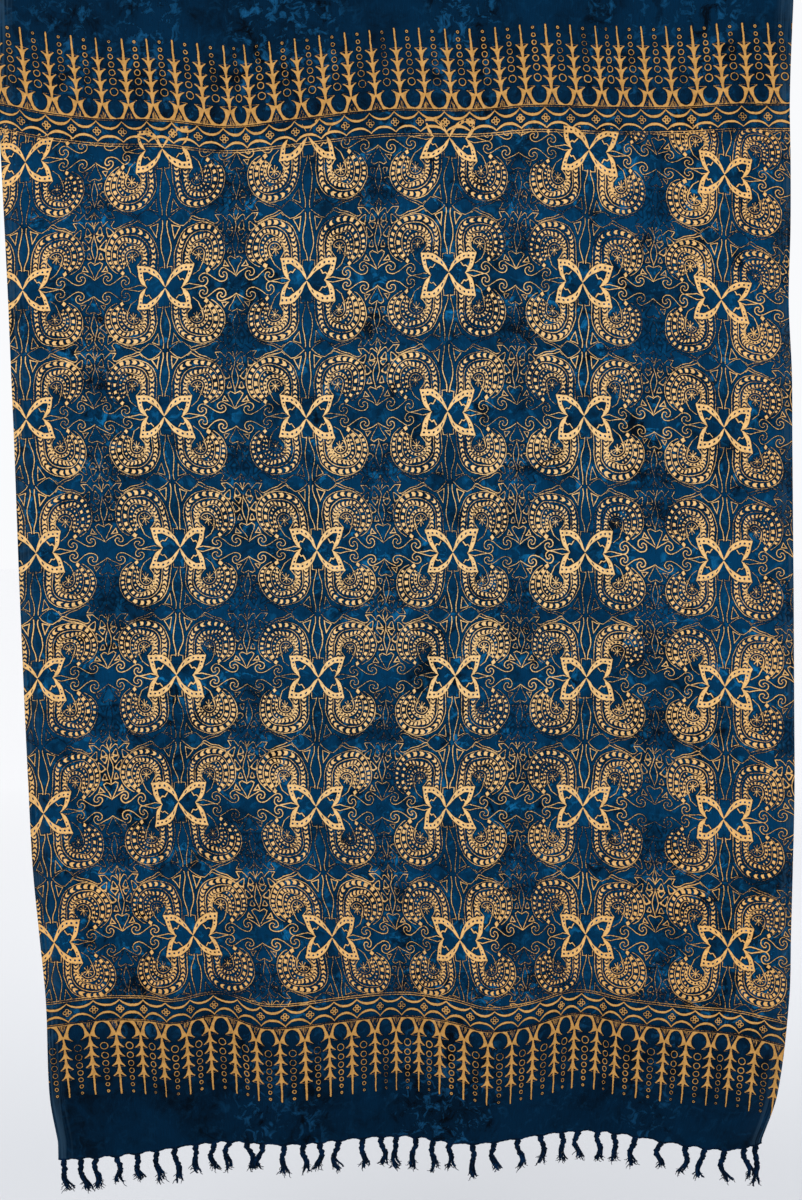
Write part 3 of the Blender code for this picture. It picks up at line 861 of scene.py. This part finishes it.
rayonLook = {
    "ground": "#001f36",
    "deep": "#000d1a",
    "bright": "#10476b",
    "black": "#000308",
    # how much red, green and blue the ground gains in the plain ends and in the field
    "topLift": (1.0, 1.03, 1.07),
    "bottomLift": (1.0, 0.84, 0.88),
    "fieldLift": (1.0, 2.15, 2.2),
    # how folded the cloth lay in the dye across its two plain ends
    "topFolds": (
        (-0.56, 0.3), (-0.48, 0.6), (-0.43, 0.8), (-0.39, 0.25), (-0.36, 0.9), (-0.31, 0.9),
        (-0.28, 0.1), (-0.23, 0.3), (-0.19, 1.0), (-0.11, 0.9), (-0.07, 0.5), (-0.03, 0.05),
        (0.03, 0.1), (0.06, 0.9), (0.12, 1.0), (0.16, 0.12), (0.25, 0.12), (0.28, 0.8), (0.33, 0.5),
        (0.39, 0.5), (0.42, 0.9), (0.47, 0.7), (0.50, 0.2), (0.56, 0.3),
    ),
    "bottomFolds": (
        (-0.56, 0.15), (-0.40, 0.12), (-0.28, 0.25), (-0.24, 0.9), (-0.20, 0.6), (-0.15, 0.7),
        (-0.12, 0.12), (-0.04, 0.2), (0.0, 1.0), (0.06, 1.0), (0.12, 0.8), (0.15, 0.15), (0.24, 0.25),
        (0.30, 0.12), (0.35, 0.7), (0.39, 0.6), (0.42, 0.15), (0.56, 0.2),
    ),
    "gold": "#b28447",  # as printed on the borders
    "goldPale": "#e6bf84",  # as printed on the middle of the field
    "goldWarm": "#e0ad68",  # as printed on the rest of the field
    "selvage": "#22394c",
    "reverseGold": "#7d6c47",
    "palestPlace": (-0.06, -0.70),
    "reverseStrength": 0.8,
    "lowEndFrom": -0.8,  # metres down
    "selvageAt": 0.548,  # metres from the middle
    # how far apart the forms of each noise are, in mm, or their sizes across, down and out
    "cloudMm": 133.33,
    "foldMm": 76.92,
    "featherMm": 17.241,
    "patchMm": 38.462,
    "wobbleMm": 11.765,
    "wornMm": 2.381,
    "inkMm": 76.92,
    "patchyMm": 6.25,
    "giveMm": 66.667,
    "puckerMm": 20.833,
    "slubMm": (1.1111, 16.667, 1000),
    "fadedMm": (3.3333, 111.11, 1000),
    "threadMm": (3.1429, 1.1, 1000),  # real threads stand 0.35 mm apart, too fine to show
    # how the hand stamp and the hand-guided spikes stray from their places
    "stampUnits": (2.03, 1.93, 0),
    "stampUnitMm": 97.0,
    "give": (0.11, 0.11, 0),
    "stampWobble": (0.018, 0.018, 0),
    "spikeWobble": (0.045, 1.5, 0),
    "roughMm": 1.3,
    "inkLevel": (0.59, 1.7),  # the level that neither thins nor thickens the ink, and its gain
    "toneOfFeather": (0.9, -0.45),  # how the gold's tone follows the dye's feathers
    "crackAt": 0.530,  # the feathers' level along which the wax cracked
    "puckerShare": 5.0,  # how much higher the puckers stand than the weave
    # each is where a change starts and ends, and what it starts and ends at
    "foldLevels": (0.46, 0.64, 0.22, 1.0),
    "endHeights": (-5.0, 45.0, 0.0, 1.0),  # mm over the base line
    "paleLevels": (0.51, 0.70, 0.0, 1.0),
    "crackLevels": (0.022, 0.004, 0.0, 0.75),
    "cloudLevels": (0.64, 0.40, 0.0, 1.0),
    "patchLevels": (0.60, 0.38, 0.3, 1.0),
    "blotLevels": (0.46, 0.37, 0.0, 0.92),
    "blotFolds": (0.2, 0.9, 0.15, 1.0),
    "fieldHeights": (25.0, -75.0, 0.0, 1.0),  # mm
    "slubLevels": (0.3, 0.7, 0.86, 1.14),
    "selvageReach": (0.024, 0.004, 0.0, 0.9),  # metres from the selvage
    "fadedLevels": (0.42, 0.62, 0.0, 1.0),
    "stampEnd": (-36.0, -12.0, 0.0, 3.2),  # mm, and how many mm thinner the stamps print
    "paleReach": (0.30, 0.80, 1.0, 0.0),  # metres
    "toneHeights": (-60.0, -5.0, 0.9, 0.1),  # mm
    "inkEdge": (-0.22, 0.22, 0.0, 1.0),  # mm inside the gold
    "patchyLevels": (0.30, 0.55, 0.72, 1.0),
    "rimReach": (-2.0, -0.5, 0.0, 0.72),  # mm inside the gold
    "roughLevels": (0.25, 0.75, 0.62, 0.84),
}


def foldedShare(add, metres, height, lowEnd, inEnds):
    # how folded the cloth lay in the dye: in loose groups over the field, as charted in the ends
    look = rayonLook
    groups = add("TexNoise", metres, None, 1000 / look["foldMm"], 2.0, 0.5, 2.0, None, None, 1.0)
    folded = add("MapRange", groups, *look["foldLevels"])
    if inEnds:
        across = add("SeparateXYZ", metres)
        topFolds = readChart(add, across, look["topFolds"])
        lowFolds = add("Math SUBTRACT", readChart(add, across, look["bottomFolds"]), topFolds)
        endFolds = add("Math MULTIPLY_ADD", lowEnd, lowFolds, topFolds)
        inEnd = add("MapRange", height, *look["endHeights"])
        folded = add("Math MULTIPLY_ADD", inEnd, add("Math SUBTRACT", endFolds, folded), folded)
    return folded


def makeDye(add, metres, height, feather, inEnds):
    # slow clouds, then pale feathers and near-black patches where the folds lay
    look = rayonLook
    slow = add("TexNoise", metres, None, 1000 / look["cloudMm"], 3.0, 0.6, 2.0, None, None, 0.6)
    patch = add("TexNoise", metres, None, 1000 / look["patchMm"], 5.0, 0.66, 2.2, None, None, 0.9)
    lowEnd = add("Math LESS_THAN", add("SeparateXYZ", metres, out=1), look["lowEndFrom"])
    folded = foldedShare(add, metres, height, lowEnd, inEnds)
    pale = add("Math MULTIPLY", add("MapRange", feather, *look["paleLevels"]), folded)
    crack = add("Math ABSOLUTE", add("Math SUBTRACT", feather, look["crackAt"]))
    crack = add("Math MULTIPLY", add("MapRange", crack, *look["crackLevels"]), folded)
    dark = add("MapRange", slow, *look["cloudLevels"])
    dark = add("Math MULTIPLY", dark, add("MapRange", patch, *look["patchLevels"]))
    blot = add("MapRange", patch, *look["blotLevels"])
    blot = add("Math MULTIPLY", blot, add("MapRange", folded, *look["blotFolds"]))
    dye = add("MixRGB", dark, toLinear(look["ground"]), toLinear(look["deep"]))
    dye = add("MixRGB", pale, dye, toLinear(look["bright"]))
    dye = add("MixRGB", largest(add, blot, crack), dye, toLinear(look["black"]))
    # the field took up a clearer blue than the ends
    endLift = add("MixRGB", lowEnd, (*look["topLift"], 1), (*look["bottomLift"], 1))
    inField = add("MapRange", height, *look["fieldHeights"])
    lift = add("MixRGB", inField, endLift, (*look["fieldLift"], 1))
    return add("VectorMath MULTIPLY", dye, lift)


def weatherDye(add, metres, dye):
    # slubs in both directions of the weave, and faded selvages
    look = rayonLook
    slub = add("Mapping", metres, None, None, perMetre(look["slubMm"]))
    slub = add("MapRange", add("TexNoise", slub, None, 1.0, 1.0), *look["slubLevels"])
    dye = add("VectorMath SCALE", dye, None, None, slub)
    edge = add("Math ABSOLUTE", add("SeparateXYZ", metres))
    edge = add("Math SUBTRACT", look["selvageAt"], edge)
    streak = add("Mapping", metres, None, None, perMetre(look["fadedMm"]))
    streak = add("MapRange", add("TexNoise", streak, None, 1.0, 2.0), *look["fadedLevels"])
    edge = add("Math MULTIPLY", add("MapRange", edge, *look["selvageReach"]), streak)
    return add("MixRGB", edge, dye, toLinear(look["selvage"]))


def printStamps(add, metres, wobble):
    # one folded quarter of the stamp for every place, and how deep in its gold the place lies
    look = rayonLook
    place = add("UVMap", uv_map="stampPlace")
    place = add("VectorMath ADD", place, (0.5, 0.5, 0))
    place = add("VectorMath FRACTION", place)
    place = add("VectorMath SUBTRACT", place, (0.5, 0.5, 0))
    place = add("VectorMath MULTIPLY", place, look["stampUnits"])
    # the cloth gave a little under each stamp, so no two are quite alike
    give = add("TexNoise", metres, None, 1000 / look["giveMm"], 1.0, out=1)
    give = add("VectorMath SUBTRACT", give, (0.5, 0.5, 0.5))
    place = add("VectorMath MULTIPLY_ADD", give, look["give"], place)
    place = add("VectorMath MULTIPLY_ADD", wobble, look["stampWobble"], place)
    lowerHalf = add("Math GREATER_THAN", add("SeparateXYZ", place, out=1), 0.0)
    place = add("VectorMath ABSOLUTE", place)
    return add("Math MULTIPLY", drawStamp(add, place, lowerHalf), look["stampUnitMm"])


def printDepth(add, metres, stamps, border):
    # how many mm inside the gold each place lies
    look = rayonLook
    wobble = add("TexNoise", metres, None, 1000 / look["wobbleMm"], 2.0, out=1)
    wobble = add("VectorMath SUBTRACT", wobble, (0.5, 0.5, 0.5))
    layers = [printStamps(add, metres, wobble)] if stamps else []
    spikeMap = add("UVMap", uv_map="spikePlace")
    if border:
        spikeMap = add("VectorMath MULTIPLY_ADD", wobble, look["spikeWobble"], spikeMap)
        if stamps:
            # the stamps run a little way in under the band
            inBand = add("MapRange", add("SeparateXYZ", spikeMap, out=1), *look["stampEnd"])
            layers[0] = add("Math SUBTRACT", layers[0], inBand)
        layers.append(drawBorder(add, spikeMap, add("UVMap", uv_map="bandPlace")))
    return largest(add, *layers)


def goldTone(add, metres, height, feather):
    # the gold is palest in the middle of the field and deepest on the borders
    look = rayonLook
    tone = add("Math MULTIPLY_ADD", feather, *look["toneOfFeather"])
    fromPale = add("VectorMath DISTANCE", metres, (*look["palestPlace"], 0), out=1)
    palest = add("MapRange", fromPale, *look["paleReach"])
    fieldGold = add("MixRGB", palest, toLinear(look["goldWarm"]), toLinear(look["goldPale"]))
    tone = add("Math ADD", add("MapRange", height, *look["toneHeights"]), tone)
    return add("MixRGB", tone, toLinear(look["gold"]), fieldGold)


def makeRayon(name, stamps, border, reverse):
    # Batik rayon: a thin plain weave, vat dyed in folds and stamped by hand, so the blue is
    # clouded with pale feathers and near-black patches, and the gold lies flat in the cloth
    look = rayonLook
    material, add = startMaterial(name)
    metres = add("UVMap", uv_map="clothMetres")
    height = add("SeparateXYZ", add("UVMap", uv_map="spikePlace"), out=1)
    feather = add("TexNoise", metres, None, 1000 / look["featherMm"], 5.0, 0.64, 2.1, None, None, 1.0)
    dye = weatherDye(add, metres, makeDye(add, metres, height, feather, inEnds=not stamps))
    printed = printDepth(add, metres, stamps, border)
    # the ink is rough along its edges and thick or thin from stamp to stamp
    worn = add("TexNoise", metres, None, 1000 / look["wornMm"], 2.0)
    inked = add("TexNoise", metres, None, 1000 / look["inkMm"], 2.0)
    rough = add("Math MULTIPLY_ADD", add("Math SUBTRACT", worn, 0.5), look["roughMm"], printed)
    level, gain = look["inkLevel"]
    thick = add("Math MULTIPLY_ADD", add("Math SUBTRACT", inked, level), gain, rough)
    gold = add("MapRange", thick, *look["inkEdge"])
    patchy = add("TexNoise", metres, None, 1000 / look["patchyMm"], 3.0)
    gold = add("Math MULTIPLY", gold, add("MapRange", patchy, *look["patchyLevels"]))
    # the wax let a rim of deep dye gather beside each printed line
    rim = add("MapRange", thick, *look["rimReach"])
    colour = add("MixRGB", rim, dye, toLinear(look["black"]))
    if reverse:
        goldColour = add("MixRGB", inked, toLinear(look["reverseGold"]), toLinear(look["gold"]))
        gold = add("Math MULTIPLY", gold, look["reverseStrength"])
    else:
        goldColour = goldTone(add, metres, height, feather)
    colour = add("MixRGB", gold, colour, goldColour)
    # weave: a fine grid of threads over soft puckers
    weave = add("Mapping", metres, None, None, perMetre(look["threadMm"]))
    weave = add("TexNoise", weave, None, 1.0, 1.0)
    pucker = add("TexNoise", metres, None, 1000 / look["puckerMm"], 2.0)
    relief = add("Math MULTIPLY_ADD", pucker, look["puckerShare"], weave)
    fillShader(material, {
        "Base Color": colour,
        "Roughness": add("MapRange", weave, *look["roughLevels"]),
        "Normal": add("Bump", 0.35, 0.0006, None, relief),
        "IOR": 1.46,
        "Specular IOR Level": 0.03,
        "Sheen Weight": 0.005,
        "Sheen Roughness": 0.4,
    })
    return material


def clothMaps(across, grid, frontStart, faces):
    # the five maps of the cloth, each with a row for every corner of every face
    rows, columns = grid.shape[:2]
    steps = np.linalg.norm(np.diff(grid[:, columns // 2], axis=0), axis=-1)
    length = np.concatenate([[0], np.cumsum(steps)])
    flat = onFlatCloth(grid)
    flat[:frontStart, :, 1] = (length[frontStart] - length[:frontStart])[:, None]
    corners = faces.ravel() % (rows * columns)

    def atCorners(x, y):
        spread = [np.broadcast_to(value, (rows, columns)).ravel() for value in (x, y)]
        return np.stack(spread, -1)[corners]

    metres = atCorners((across - 0.5) * cloth["flat"][0], (length[frontStart] - length)[:, None])
    stamps = np.moveaxis(stampPlaces(flat), -1, 0)
    top, bottom = spikePlaces(flat, "top", 1), spikePlaces(flat, "bottom", -1)
    isUpper = (flat[..., 1] > printPlace["middleHeight"] / 1000).ravel()[corners[::4]]
    isUpper = np.repeat(isUpper, 4)[:, None]
    spikes = np.where(isUpper, atCorners(*top), atCorners(*bottom))
    bandShift = np.where(isUpper, *printPlace["bandShifts"])
    isBack = (faces >= rows * columns).all(axis=1)
    # the bake map has the front in its left half and the back in its right half
    bake = atCorners(across, (1 - length / length[-1])[:, None]) * (0.49, 0.98) + (0.005, 0.01)
    bake[:, 0] += 0.50 * np.repeat(isBack, 4)
    maps = {
        "OFBake": bake,
        "clothMetres": metres,
        "stampPlace": atCorners(*stamps),
        "spikePlace": spikes,
        "bandPlace": spikes + bandShift * (1, 0),
    }
    return maps, isBack


def clothFaces(rows, columns):
    # the printed side, the back, and the rim that joins them
    index = np.arange(rows * columns).reshape(rows, columns)
    quads = np.stack([index[:-1, :-1], index[:-1, 1:], index[1:, 1:], index[1:, :-1]], -1).reshape(-1, 4)
    back = quads[:, ::-1] + rows * columns
    loop = np.array([*index[:, 0], *index[-1, 1:], *index[-2::-1, -1], *index[0, -2:0:-1]])
    ahead = np.roll(loop, -1)
    rim = np.stack([ahead, loop, loop + rows * columns, ahead + rows * columns], -1)
    return np.concatenate([quads, back, rim])


def makeCloth():
    across, grid, frontStart = clothGrid()
    # normals of the printed side, from the rows' and columns' own steps
    normal = np.cross(np.gradient(grid, axis=0), np.gradient(grid, axis=1))
    normal /= np.linalg.norm(normal, axis=-1, keepdims=True)
    half = cloth["thickness"] / 2
    points = np.concatenate([grid + normal * half, grid - normal * half]).reshape(-1, 3)
    faces = clothFaces(*grid.shape[:2])
    mesh = bpy.data.meshes.new("sarongCloth")
    mesh.from_pydata(points.tolist(), [], faces.tolist())
    maps, isBack = clothMaps(across, grid, frontStart, faces)
    for name, values in maps.items():
        layer = mesh.uv_layers.new(name=name, do_init=False)
        layer.uv.foreach_set("vector", np.ascontiguousarray(values, dtype=np.float32).ravel())
    # three kinds of printing on each side
    heights = maps["spikePlace"][:, 1].reshape(-1, 4)
    fieldBelow, bandBelow = printPlace["kindHeights"]
    kind = np.where(heights.max(axis=1) < fieldBelow, 0, np.where(heights.min(axis=1) < bandBelow, 1, 2))
    mesh.polygons.foreach_set("material_index", (kind + 3 * isBack).astype(np.int32))
    printKinds = (("Field", True, False), ("Band", True, True), ("Spikes", False, True))
    for side, reverse in (("Front", False), ("Reverse", True)):
        for kindName, stamps, border in printKinds:
            mesh.materials.append(makeRayon("batikRayon" + kindName + side, stamps, border, reverse))
    piece = bpy.data.objects.new("sarongCloth", mesh)
    bpy.context.scene.collection.objects.link(piece)
    mesh.shade_smooth()
    mesh.update()
    return piece


sarong = makeCloth()
fieldNodes = sarong.data.materials[0].node_tree.nodes
print("cloth made", len(sarong.data.polygons), "faces;", len(fieldNodes), "nodes in the field")

fringe = {
    # place across, length, lean and bow of each tassel, as in the solid
    "tassels": (
        (0.008, 0.044, 0.012, -0.004), (0.033, 0.050, 0.010, 0.000), (0.058, 0.044, 0.003, -0.002),
        (0.088, 0.039, 0.003, 0.001), (0.116, 0.038, 0.007, -0.001), (0.143, 0.045, 0.004, 0.001),
        (0.170, 0.050, 0.007, -0.001), (0.200, 0.042, 0.004, -0.005), (0.225, 0.039, 0.003, -0.004),
        (0.248, 0.042, -0.003, -0.004), (0.274, 0.038, 0.010, 0.002), (0.298, 0.038, -0.009, -0.002),
        (0.329, 0.042, -0.001, 0.001), (0.359, 0.041, 0.003, -0.001), (0.382, 0.037, -0.003, 0.001),
        (0.409, 0.044, 0.000, -0.006), (0.442, 0.041, 0.003, 0.002), (0.471, 0.042, 0.004, 0.001),
        (0.494, 0.046, 0.002, -0.006), (0.520, 0.049, -0.006, 0.001), (0.546, 0.045, -0.001, 0.001),
        (0.571, 0.038, 0.002, -0.002), (0.603, 0.048, 0.003, -0.001), (0.634, 0.042, 0.006, -0.003),
        (0.669, 0.042, 0.006, 0.001), (0.703, 0.044, 0.004, 0.001), (0.733, 0.044, 0.003, 0.001),
        (0.758, 0.041, 0.002, -0.003), (0.787, 0.041, 0.001, 0.001), (0.811, 0.041, 0.003, -0.001),
        (0.840, 0.042, -0.004, -0.003), (0.878, 0.038, 0.000, -0.005), (0.912, 0.040, -0.007, 0.003),
        (0.940, 0.044, -0.006, -0.006), (0.968, 0.046, 0.006, -0.005), (0.998, 0.045, 0.010, 0.001),
        (1.018, 0.060, 0.002, -0.002),
    ),
    "spread": 1.026,  # the tassels' places run to this share of the width
    "swing": 0.0022,
    "leanPower": 1.4,
    # strands in each tassel, share of the tassels' lengths, and the seed of their chance forms
    "bottomMake": (6, 1.0, 11),
    "topMake": (3, 0.95, 12),
    "strandSteps": 13,
    "strandRadius": 0.00185,
    "strandOut": 0.0008,
    "lockOut": 0.0025,
    "splay": 0.0030,
    "knot": (0.10, 0.06, 0.45),  # place, reach and growth along the strand
    "twists": 1.6,  # turns of the pair over the tied length
    "tied": 0.60,  # share of the length before the locks come apart
    "kink": 0.0026,
    "hairs": 3,  # at the end of each strand
    "hairRadii": (0.0008, 0.0007, 0.0006, 0.0005, 0.0003),
    "hemRoll": 0.0013,
    "pinchReach": 0.0045,
    "deep": "#000a18",
    "navy": "#001c3a",
    "glint": "#0a3a66",
    "dyeMm": 16.667,
    "plyLean": 35,  # degrees
    "plyMm": (1.1111, 1.1111, 2.6316),
}


def makeYarn():
    # Twisted rayon yarn, vat dyed with the cloth: near-black navy, with a blue glint on its twist
    material, add = startMaterial("twistedRayonYarn")
    place = add("TexCoord", out=3)
    cloud = add("TexNoise", place, None, 1000 / fringe["dyeMm"], 3.0, 0.6)
    ply = add("Mapping", place, None, (0, math.radians(fringe["plyLean"]), 0), perMetre(fringe["plyMm"]))
    ply = add("TexNoise", ply, None, 1.0, 2.0)
    clouded = add("MapRange", cloud, 0.45, 0.75, 0.0, 1.0)
    dye = add("MixRGB", clouded, toLinear(fringe["deep"]), toLinear(fringe["navy"]))
    glint = add("MapRange", ply, 0.55, 0.75, 0.0, 0.6)
    fillShader(material, {
        "Base Color": add("MixRGB", glint, dye, toLinear(fringe["glint"])),
        "Roughness": add("MapRange", ply, 0.2, 0.8, 0.62, 0.9),
        "Normal": add("Bump", 0.6, 0.0006, None, ply),
        "IOR": 1.46,
        "Specular IOR Level": 0.04,
        "Sheen Weight": 0.01,
    })
    return material


def addStrand(data, points, radii):
    spline = data.splines.new("POLY")
    spline.points.add(len(points) - 1)
    for point, place, radius in zip(spline.points, points, radii):
        point.co = (*place, 1)
        point.radius = radius


def addHem(data, surface, end):
    # the rolled hem, pinched where each tassel is tied in
    across = np.linspace(0, 1, 481)
    hem = surface(across, np.full_like(across, end))
    ties = np.array([row[0] for row in fringe["tassels"]]) / fringe["spread"]
    near = np.exp(-((np.abs(across[:, None] - ties).min(axis=1) / fringe["pinchReach"]) ** 2))
    thick = fringe["hemRoll"] * (1 + 0.18 * np.sin(across * 900) + 0.5 * near)
    addStrand(data, hem + (0, 0, fringe["hemRoll"] * 0.6), thick)


def strandPath(rng, index, k, strands, root, lengthShare):
    # one strand of a tassel: it winds with its lock down to where the locks come apart
    _, length, lean, bow = fringe["tassels"][index]
    lock = k % 2  # two locks of strands twist round each other
    turnAt = 2 * math.pi * k / strands + rng.uniform(-0.3, 0.3)
    splay = rng.uniform(0.4, 1.0) * (1 if lock else -1)
    ownLength = length * lengthShare * rng.uniform(0.90, 1.02)
    curl = rng.uniform(0, 6.3)
    swing = fringe["swing"] * (1 if index % 2 else -1)
    knotAt, knotReach, knotGrowth = fringe["knot"]
    points, radii = [], []
    for t in np.linspace(0, 1, fringe["strandSteps"]).tolist():
        tied = min(t / fringe["tied"], 1)
        loose = max((t - fringe["tied"]) / (1 - fringe["tied"]), 0)
        turn = turnAt * 0.3 + math.pi * lock + 2 * math.pi * fringe["twists"] * tied
        lockOut = fringe["lockOut"] * min(t * 8, 1)
        own = turnAt + 5 * tied
        x = lockOut * math.cos(turn) + fringe["strandOut"] * math.cos(own)
        y = lockOut * math.sin(turn) + fringe["strandOut"] * math.sin(own)
        x += splay * fringe["splay"] * loose**1.3 + 0.0015 * loose * math.sin(12 * t + curl)
        x += fringe["kink"] * math.sin(6.5 * t + index * 1.7) * min(t * 4, 1)
        y += 0.0020 * loose * math.cos(9 * t + curl)
        shift = lean * t ** fringe["leanPower"] + bow * math.sin(math.pi * t)
        points.append((root[0] + x + shift, root[1] + y + swing * t, root[2] + 0.001 - ownLength * t))
        fray = 1 - 0.45 * loose**2
        knot = 1 + knotGrowth * math.exp(-(((t - knotAt) / knotReach) ** 2))
        radii.append(fringe["strandRadius"] * fray * knot * (1 + 0.14 * math.sin(30 * t + curl)))
    return points, radii, splay


def addHairs(rng, data, points, splay):
    # loose hairs that curl away from the lock's cut end
    for hair in range(fringe["hairs"]):
        x, y, z = points[-2 - hair % 3]
        way, rise = rng.uniform(-1, 1) + 0.6 * splay, rng.uniform(0.2, 1.0)
        wind = rng.uniform(2.5, 6)
        places = [
            (
                x + way * 0.0055 * q + 0.0011 * math.sin(wind * q * 2),
                y + 0.0022 * (hair - 1) * q,
                z - 0.0085 * rise * q + 0.0012 * math.cos(wind * q),
            )
            for q in (0, 0.25, 0.5, 0.75, 1)
        ]
        addStrand(data, places, fringe["hairRadii"])


def makeFringe(name, surface, end, strands, lengthShare, seed, material):
    rng = np.random.default_rng(seed)
    data = bpy.data.curves.new(name, "CURVE")
    data.dimensions = "3D"
    data.bevel_depth = 1.0
    data.bevel_resolution = 1
    data.use_fill_caps = True
    addHem(data, surface, end)
    for index, tassel in enumerate(fringe["tassels"]):
        root = surface(np.array([tassel[0] / fringe["spread"]]), np.array([end]))[0]
        for k in range(strands):
            points, radii, splay = strandPath(rng, index, k, strands, root, lengthShare)
            addStrand(data, points, radii)
            addHairs(rng, data, points, splay)
    piece = bpy.data.objects.new(name, data)
    bpy.context.scene.collection.objects.link(piece)
    bpy.ops.object.select_all(action="DESELECT")
    piece.select_set(True)
    bpy.context.view_layer.objects.active = piece
    bpy.ops.object.convert(target="MESH")
    piece = bpy.context.view_layer.objects.active
    bpy.ops.object.shade_smooth()
    piece.data.materials.clear()
    piece.data.materials.append(material)
    return piece


yarn = makeYarn()
bottomFringe = makeFringe("sarongBottomFringe", frontPoint, 1.0, *fringe["bottomMake"], yarn)
topFringe = makeFringe("sarongTopFringe", returnPoint, 0.0, *fringe["topMake"], yarn)
print("fringes made", len(bottomFringe.data.polygons), len(topFringe.data.polygons))

rod = {
    "pale": "#6b4a30",
    "dark": "#38241a",
    "pore": "#1d120c",
    "grainMm": (53.33, 1.6, 1.6),
    "poreMm": (8.333, 0.3846, 0.3846),
}


def makeRodWood():
    # Oiled hardwood dowel, turned and rubbed: long grain along the rod with fine open pores
    material, add = startMaterial("oiledHardwood")
    place = add("TexCoord", out=3)
    rings = add("Mapping", place, None, None, perMetre(rod["grainMm"]))
    rings = add("TexNoise", rings, None, 1.0, 4.0, 0.6, 2.0, None, None, 0.8)
    pores = add("Mapping", place, None, None, perMetre(rod["poreMm"]))
    pores = add("TexNoise", pores, None, 1.0, 1.0)
    grain = add("MapRange", rings, 0.35, 0.68, 0.0, 1.0)
    wood = add("MixRGB", grain, toLinear(rod["dark"]), toLinear(rod["pale"]))
    openPores = add("MapRange", pores, 0.62, 0.74, 0.0, 0.7)
    fillShader(material, {
        "Base Color": add("MixRGB", openPores, wood, toLinear(rod["pore"])),
        "Roughness": add("MapRange", rings, 0.3, 0.7, 0.5, 0.36),
        "Normal": add("Bump", 0.3, 0.0004, None, pores),
        "IOR": 1.5,
    })
    return material


rodWood = makeRodWood()
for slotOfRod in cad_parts["rod"].material_slots:
    slotOfRod.material = rodWood
print("rod finished")

# how the pieces belong to the frame
for piece, node, slot in (
    (sarong, "cloth", "rayon"),
    (bottomFringe, "bottom_fringe", "fringe_yarn"),
    (topFringe, "top_fringe", "fringe_yarn"),
):
    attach(piece, "root")
    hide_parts(node)

studio = {
    "floorZ": -2.05,
    "floorSize": 30,
    # painted shade: the floor's colour is greyer near the cloth, where its shade falls
    "floorPaintedShade": "#d3d5d9",
    "floorFar": "#fcfcfd",
    "paintedShadeReach": (1.2, 5.0),  # how far from the middle the floor's painted shade is full and where it has gone
    "world": "#f1f2f4",
    "worldStrength": 1.08,
    # place, size and power of each lamp
    "lamps": {
        "keyLight": ((-1.6, -2.6, 0.7), 1.6, 38),
        "fillLight": ((1.8, -2.4, -0.4), 1.8, 16),
        "backLight": ((0.6, 2.6, 0.6), 1.8, 22),
    },
    "lampAim": (0, 0, -0.8),
}


def paintFloor():
    # matt wall paint, with painted shade that makes it a little greyer under the cloth, as the photo's
    # ground is
    material, add = startMaterial("floorPaintAndPaintedShade")
    away = add("VectorMath MULTIPLY", add("TexCoord", out=3), (1, 1, 0))
    away = add("MapRange", add("VectorMath LENGTH", away, out=1), *studio["paintedShadeReach"], 0.0, 1.0)
    # painted shade: the colour greys towards the cloth, in place of the shade under it
    tone = add("MixRGB", away, toLinear(studio["floorPaintedShade"]), toLinear(studio["floorFar"]))
    fillShader(material, {"Base Color": tone, "Roughness": 0.9})
    return material


def makeStudio():
    bpy.ops.object.select_all(action="DESELECT")
    bpy.ops.mesh.primitive_grid_add(
        x_subdivisions=12, y_subdivisions=12, size=studio["floorSize"], location=(0, 0, 0)
    )
    floor = bpy.context.view_layer.objects.active
    floor.name = "studioFloor"
    bpy.ops.object.mode_set(mode="EDIT")
    bpy.ops.transform.translate(value=(0, 0, studio["floorZ"]))
    bpy.ops.object.mode_set(mode="OBJECT")
    floor.data.materials.append(paintFloor())
    world = bpy.data.worlds.new("paleStudio")
    world.use_nodes = True
    background = world.node_tree.nodes["Background"]
    background.inputs["Color"].default_value = toLinear(studio["world"])
    background.inputs["Strength"].default_value = studio["worldStrength"]
    bpy.context.scene.world = world
    for name, (place, size, power) in studio["lamps"].items():
        light = bpy.data.lights.new(name, "AREA")
        light.shape = "SQUARE"
        light.size = size
        light.energy = power
        lamp = bpy.data.objects.new(name, light)
        lamp.location = place
        aim = Vector(studio["lampAim"]) - Vector(place)
        lamp.rotation_euler = aim.to_track_quat("-Z", "Y").to_euler()
        bpy.context.scene.collection.objects.link(lamp)


makeStudio()
bpy.context.scene.view_settings.view_transform = "Standard"
print("studio lit")
